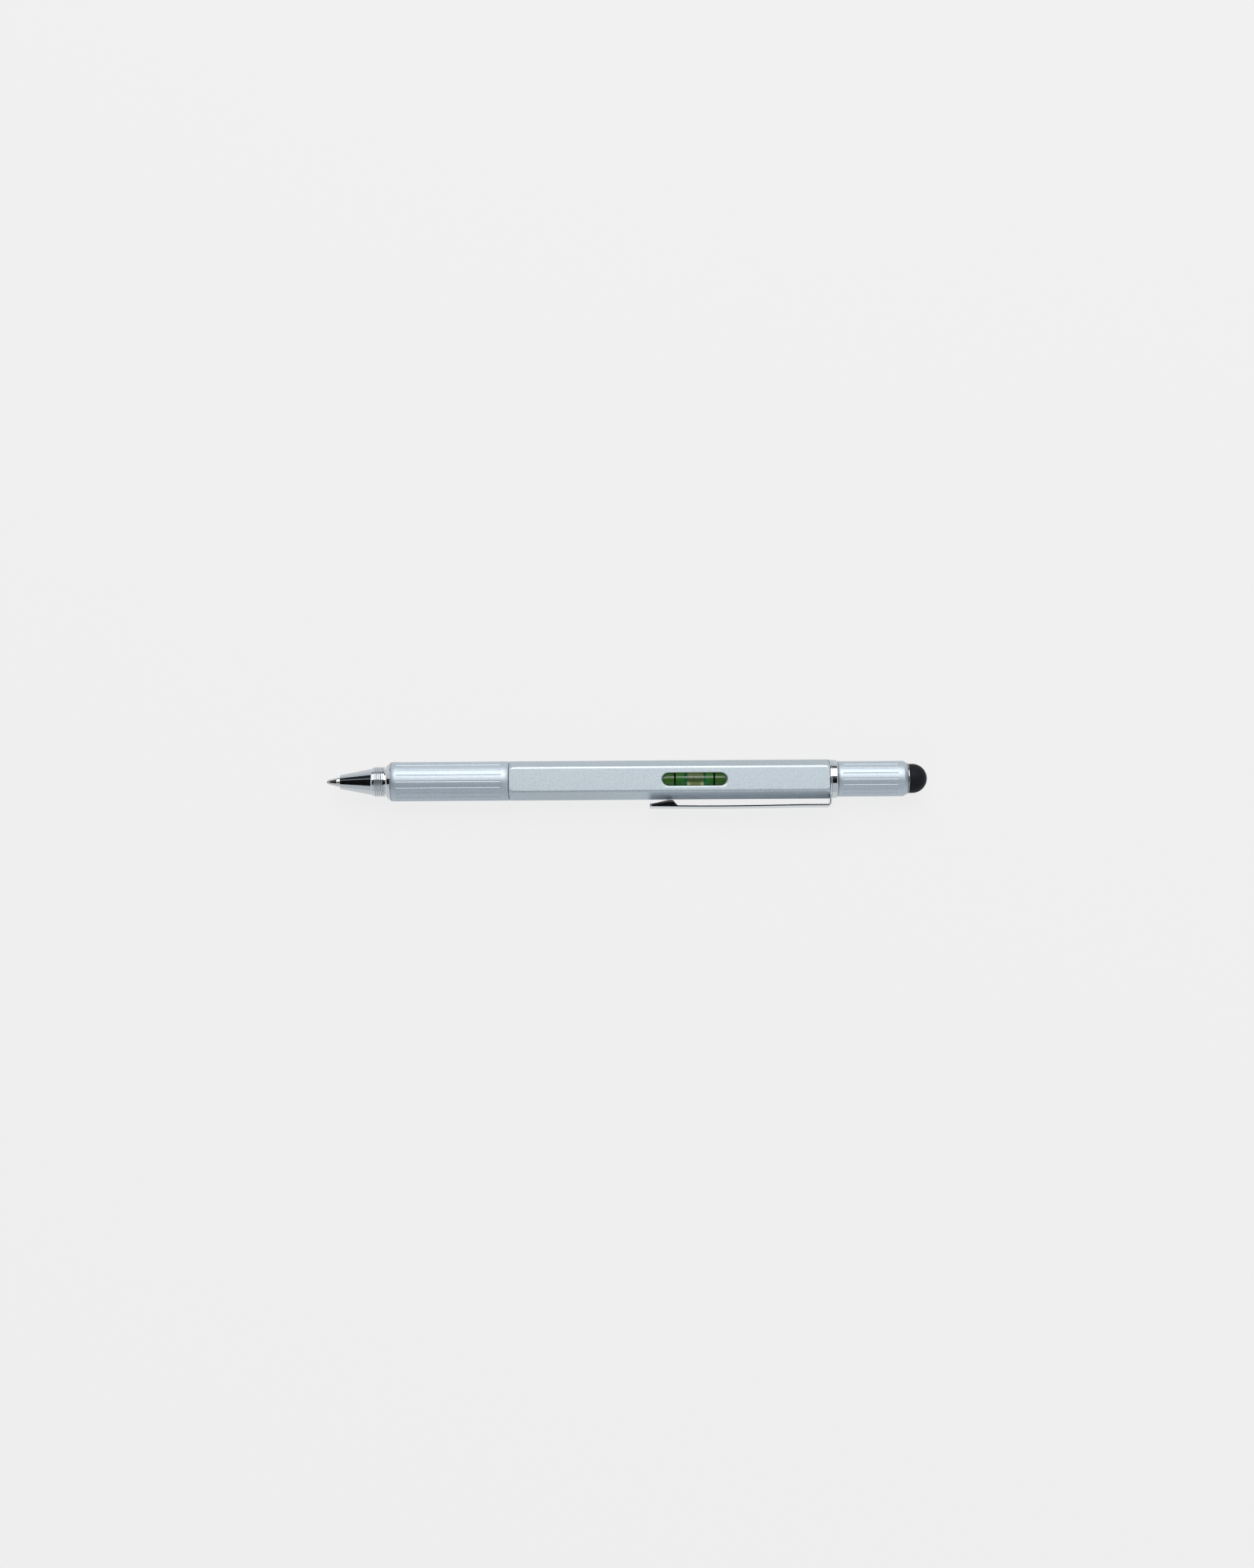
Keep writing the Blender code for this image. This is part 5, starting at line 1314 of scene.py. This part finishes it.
cap = grooved_sleeve(
    "cap_sleeve_anodised", cap_outline, cap_low.x + CAP_GROOVE_START, cap_high.x - CAP_GROOVE_END,
    CAP_RADIUS, cap_satin,
)
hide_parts("cap_sleeve")
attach(cap, "cap")
insert_brass = metal(
    "insert_brass_turned", (0.68, 0.52, 0.25), 0.3, TURNED_MARKS, grain=0.15, depth=0.5
)
carry_over("cap_insert", insert_brass)

# Stylus
# A soft black conductive rubber dome, stretched over a plastic plug and seated on a thin dark
# metal ring at the end of the cap.
tip_low, tip_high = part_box("stylus_tip")
band_low, band_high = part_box("stylus_ring")
STYLUS_RING_RADIUS = (band_high.y - band_low.y) / 2
STYLUS_NECK_RADIUS = 2.5 * MM
RUBBER_RADIUS = (tip_high.y - tip_low.y) / 2
RUBBER_STRAIGHT_LENGTH = 0.9 * MM
RUBBER_FOOT_ROUND = 0.3 * MM
RUBBER_STEPS = 32
STYLUS_FIT = 0.05 * MM
STYLUS_BORE_RADIUS = STYLUS_NECK_RADIUS + STYLUS_FIT
FERRULE_EDGE = 0.08 * MM

ferrule_metal = metal(
    "ferrule_dark_chrome", (0.26, 0.28, 0.30), 0.16, TURNED_MARKS, grain=0.06, depth=0.1
)
ferrule_outline = tube(band_low.x, band_high.x, STYLUS_BORE_RADIUS, STYLUS_RING_RADIUS)
ferrule = turned("stylus_ferrule", ferrule_outline, ferrule_metal, edge=FERRULE_EDGE)
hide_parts("stylus_ring")
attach(ferrule, "cap")

dome_x = tip_low.x + RUBBER_STRAIGHT_LENGTH
dome_length = tip_high.x - dome_x
foot_centre = (tip_low.x + RUBBER_FOOT_ROUND, RUBBER_RADIUS - RUBBER_FOOT_ROUND)
dome_outline = [(tip_low.x, STYLUS_BORE_RADIUS)]
dome_outline += arc(*foot_centre, RUBBER_FOOT_ROUND, 180, 90, 6)
for i in range(RUBBER_STEPS + 1):
    turn = math.pi / 2 * i / RUBBER_STEPS
    dome_outline.append((dome_x + dome_length * math.sin(turn), RUBBER_RADIUS * math.cos(turn)))
rubber = moulded(
    "stylus_rubber_black", (0.006, 0.007, 0.010), 0.6, dust=0.05, dust_colour=(0.25, 0.26, 0.28),
    scale=2600, depth=0.5,
)
rubber.node_tree.nodes["Principled BSDF"].inputs["Specular IOR Level"].default_value = 0.16
dome = turned("stylus_rubber_dome", dome_outline, rubber)
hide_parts("stylus_tip")
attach(dome, "cap")
plug_black = moulded("stylus_plug_black", (0.02, 0.02, 0.02), 0.5, dust=0.05)
carry_over("stylus_core", plug_black)
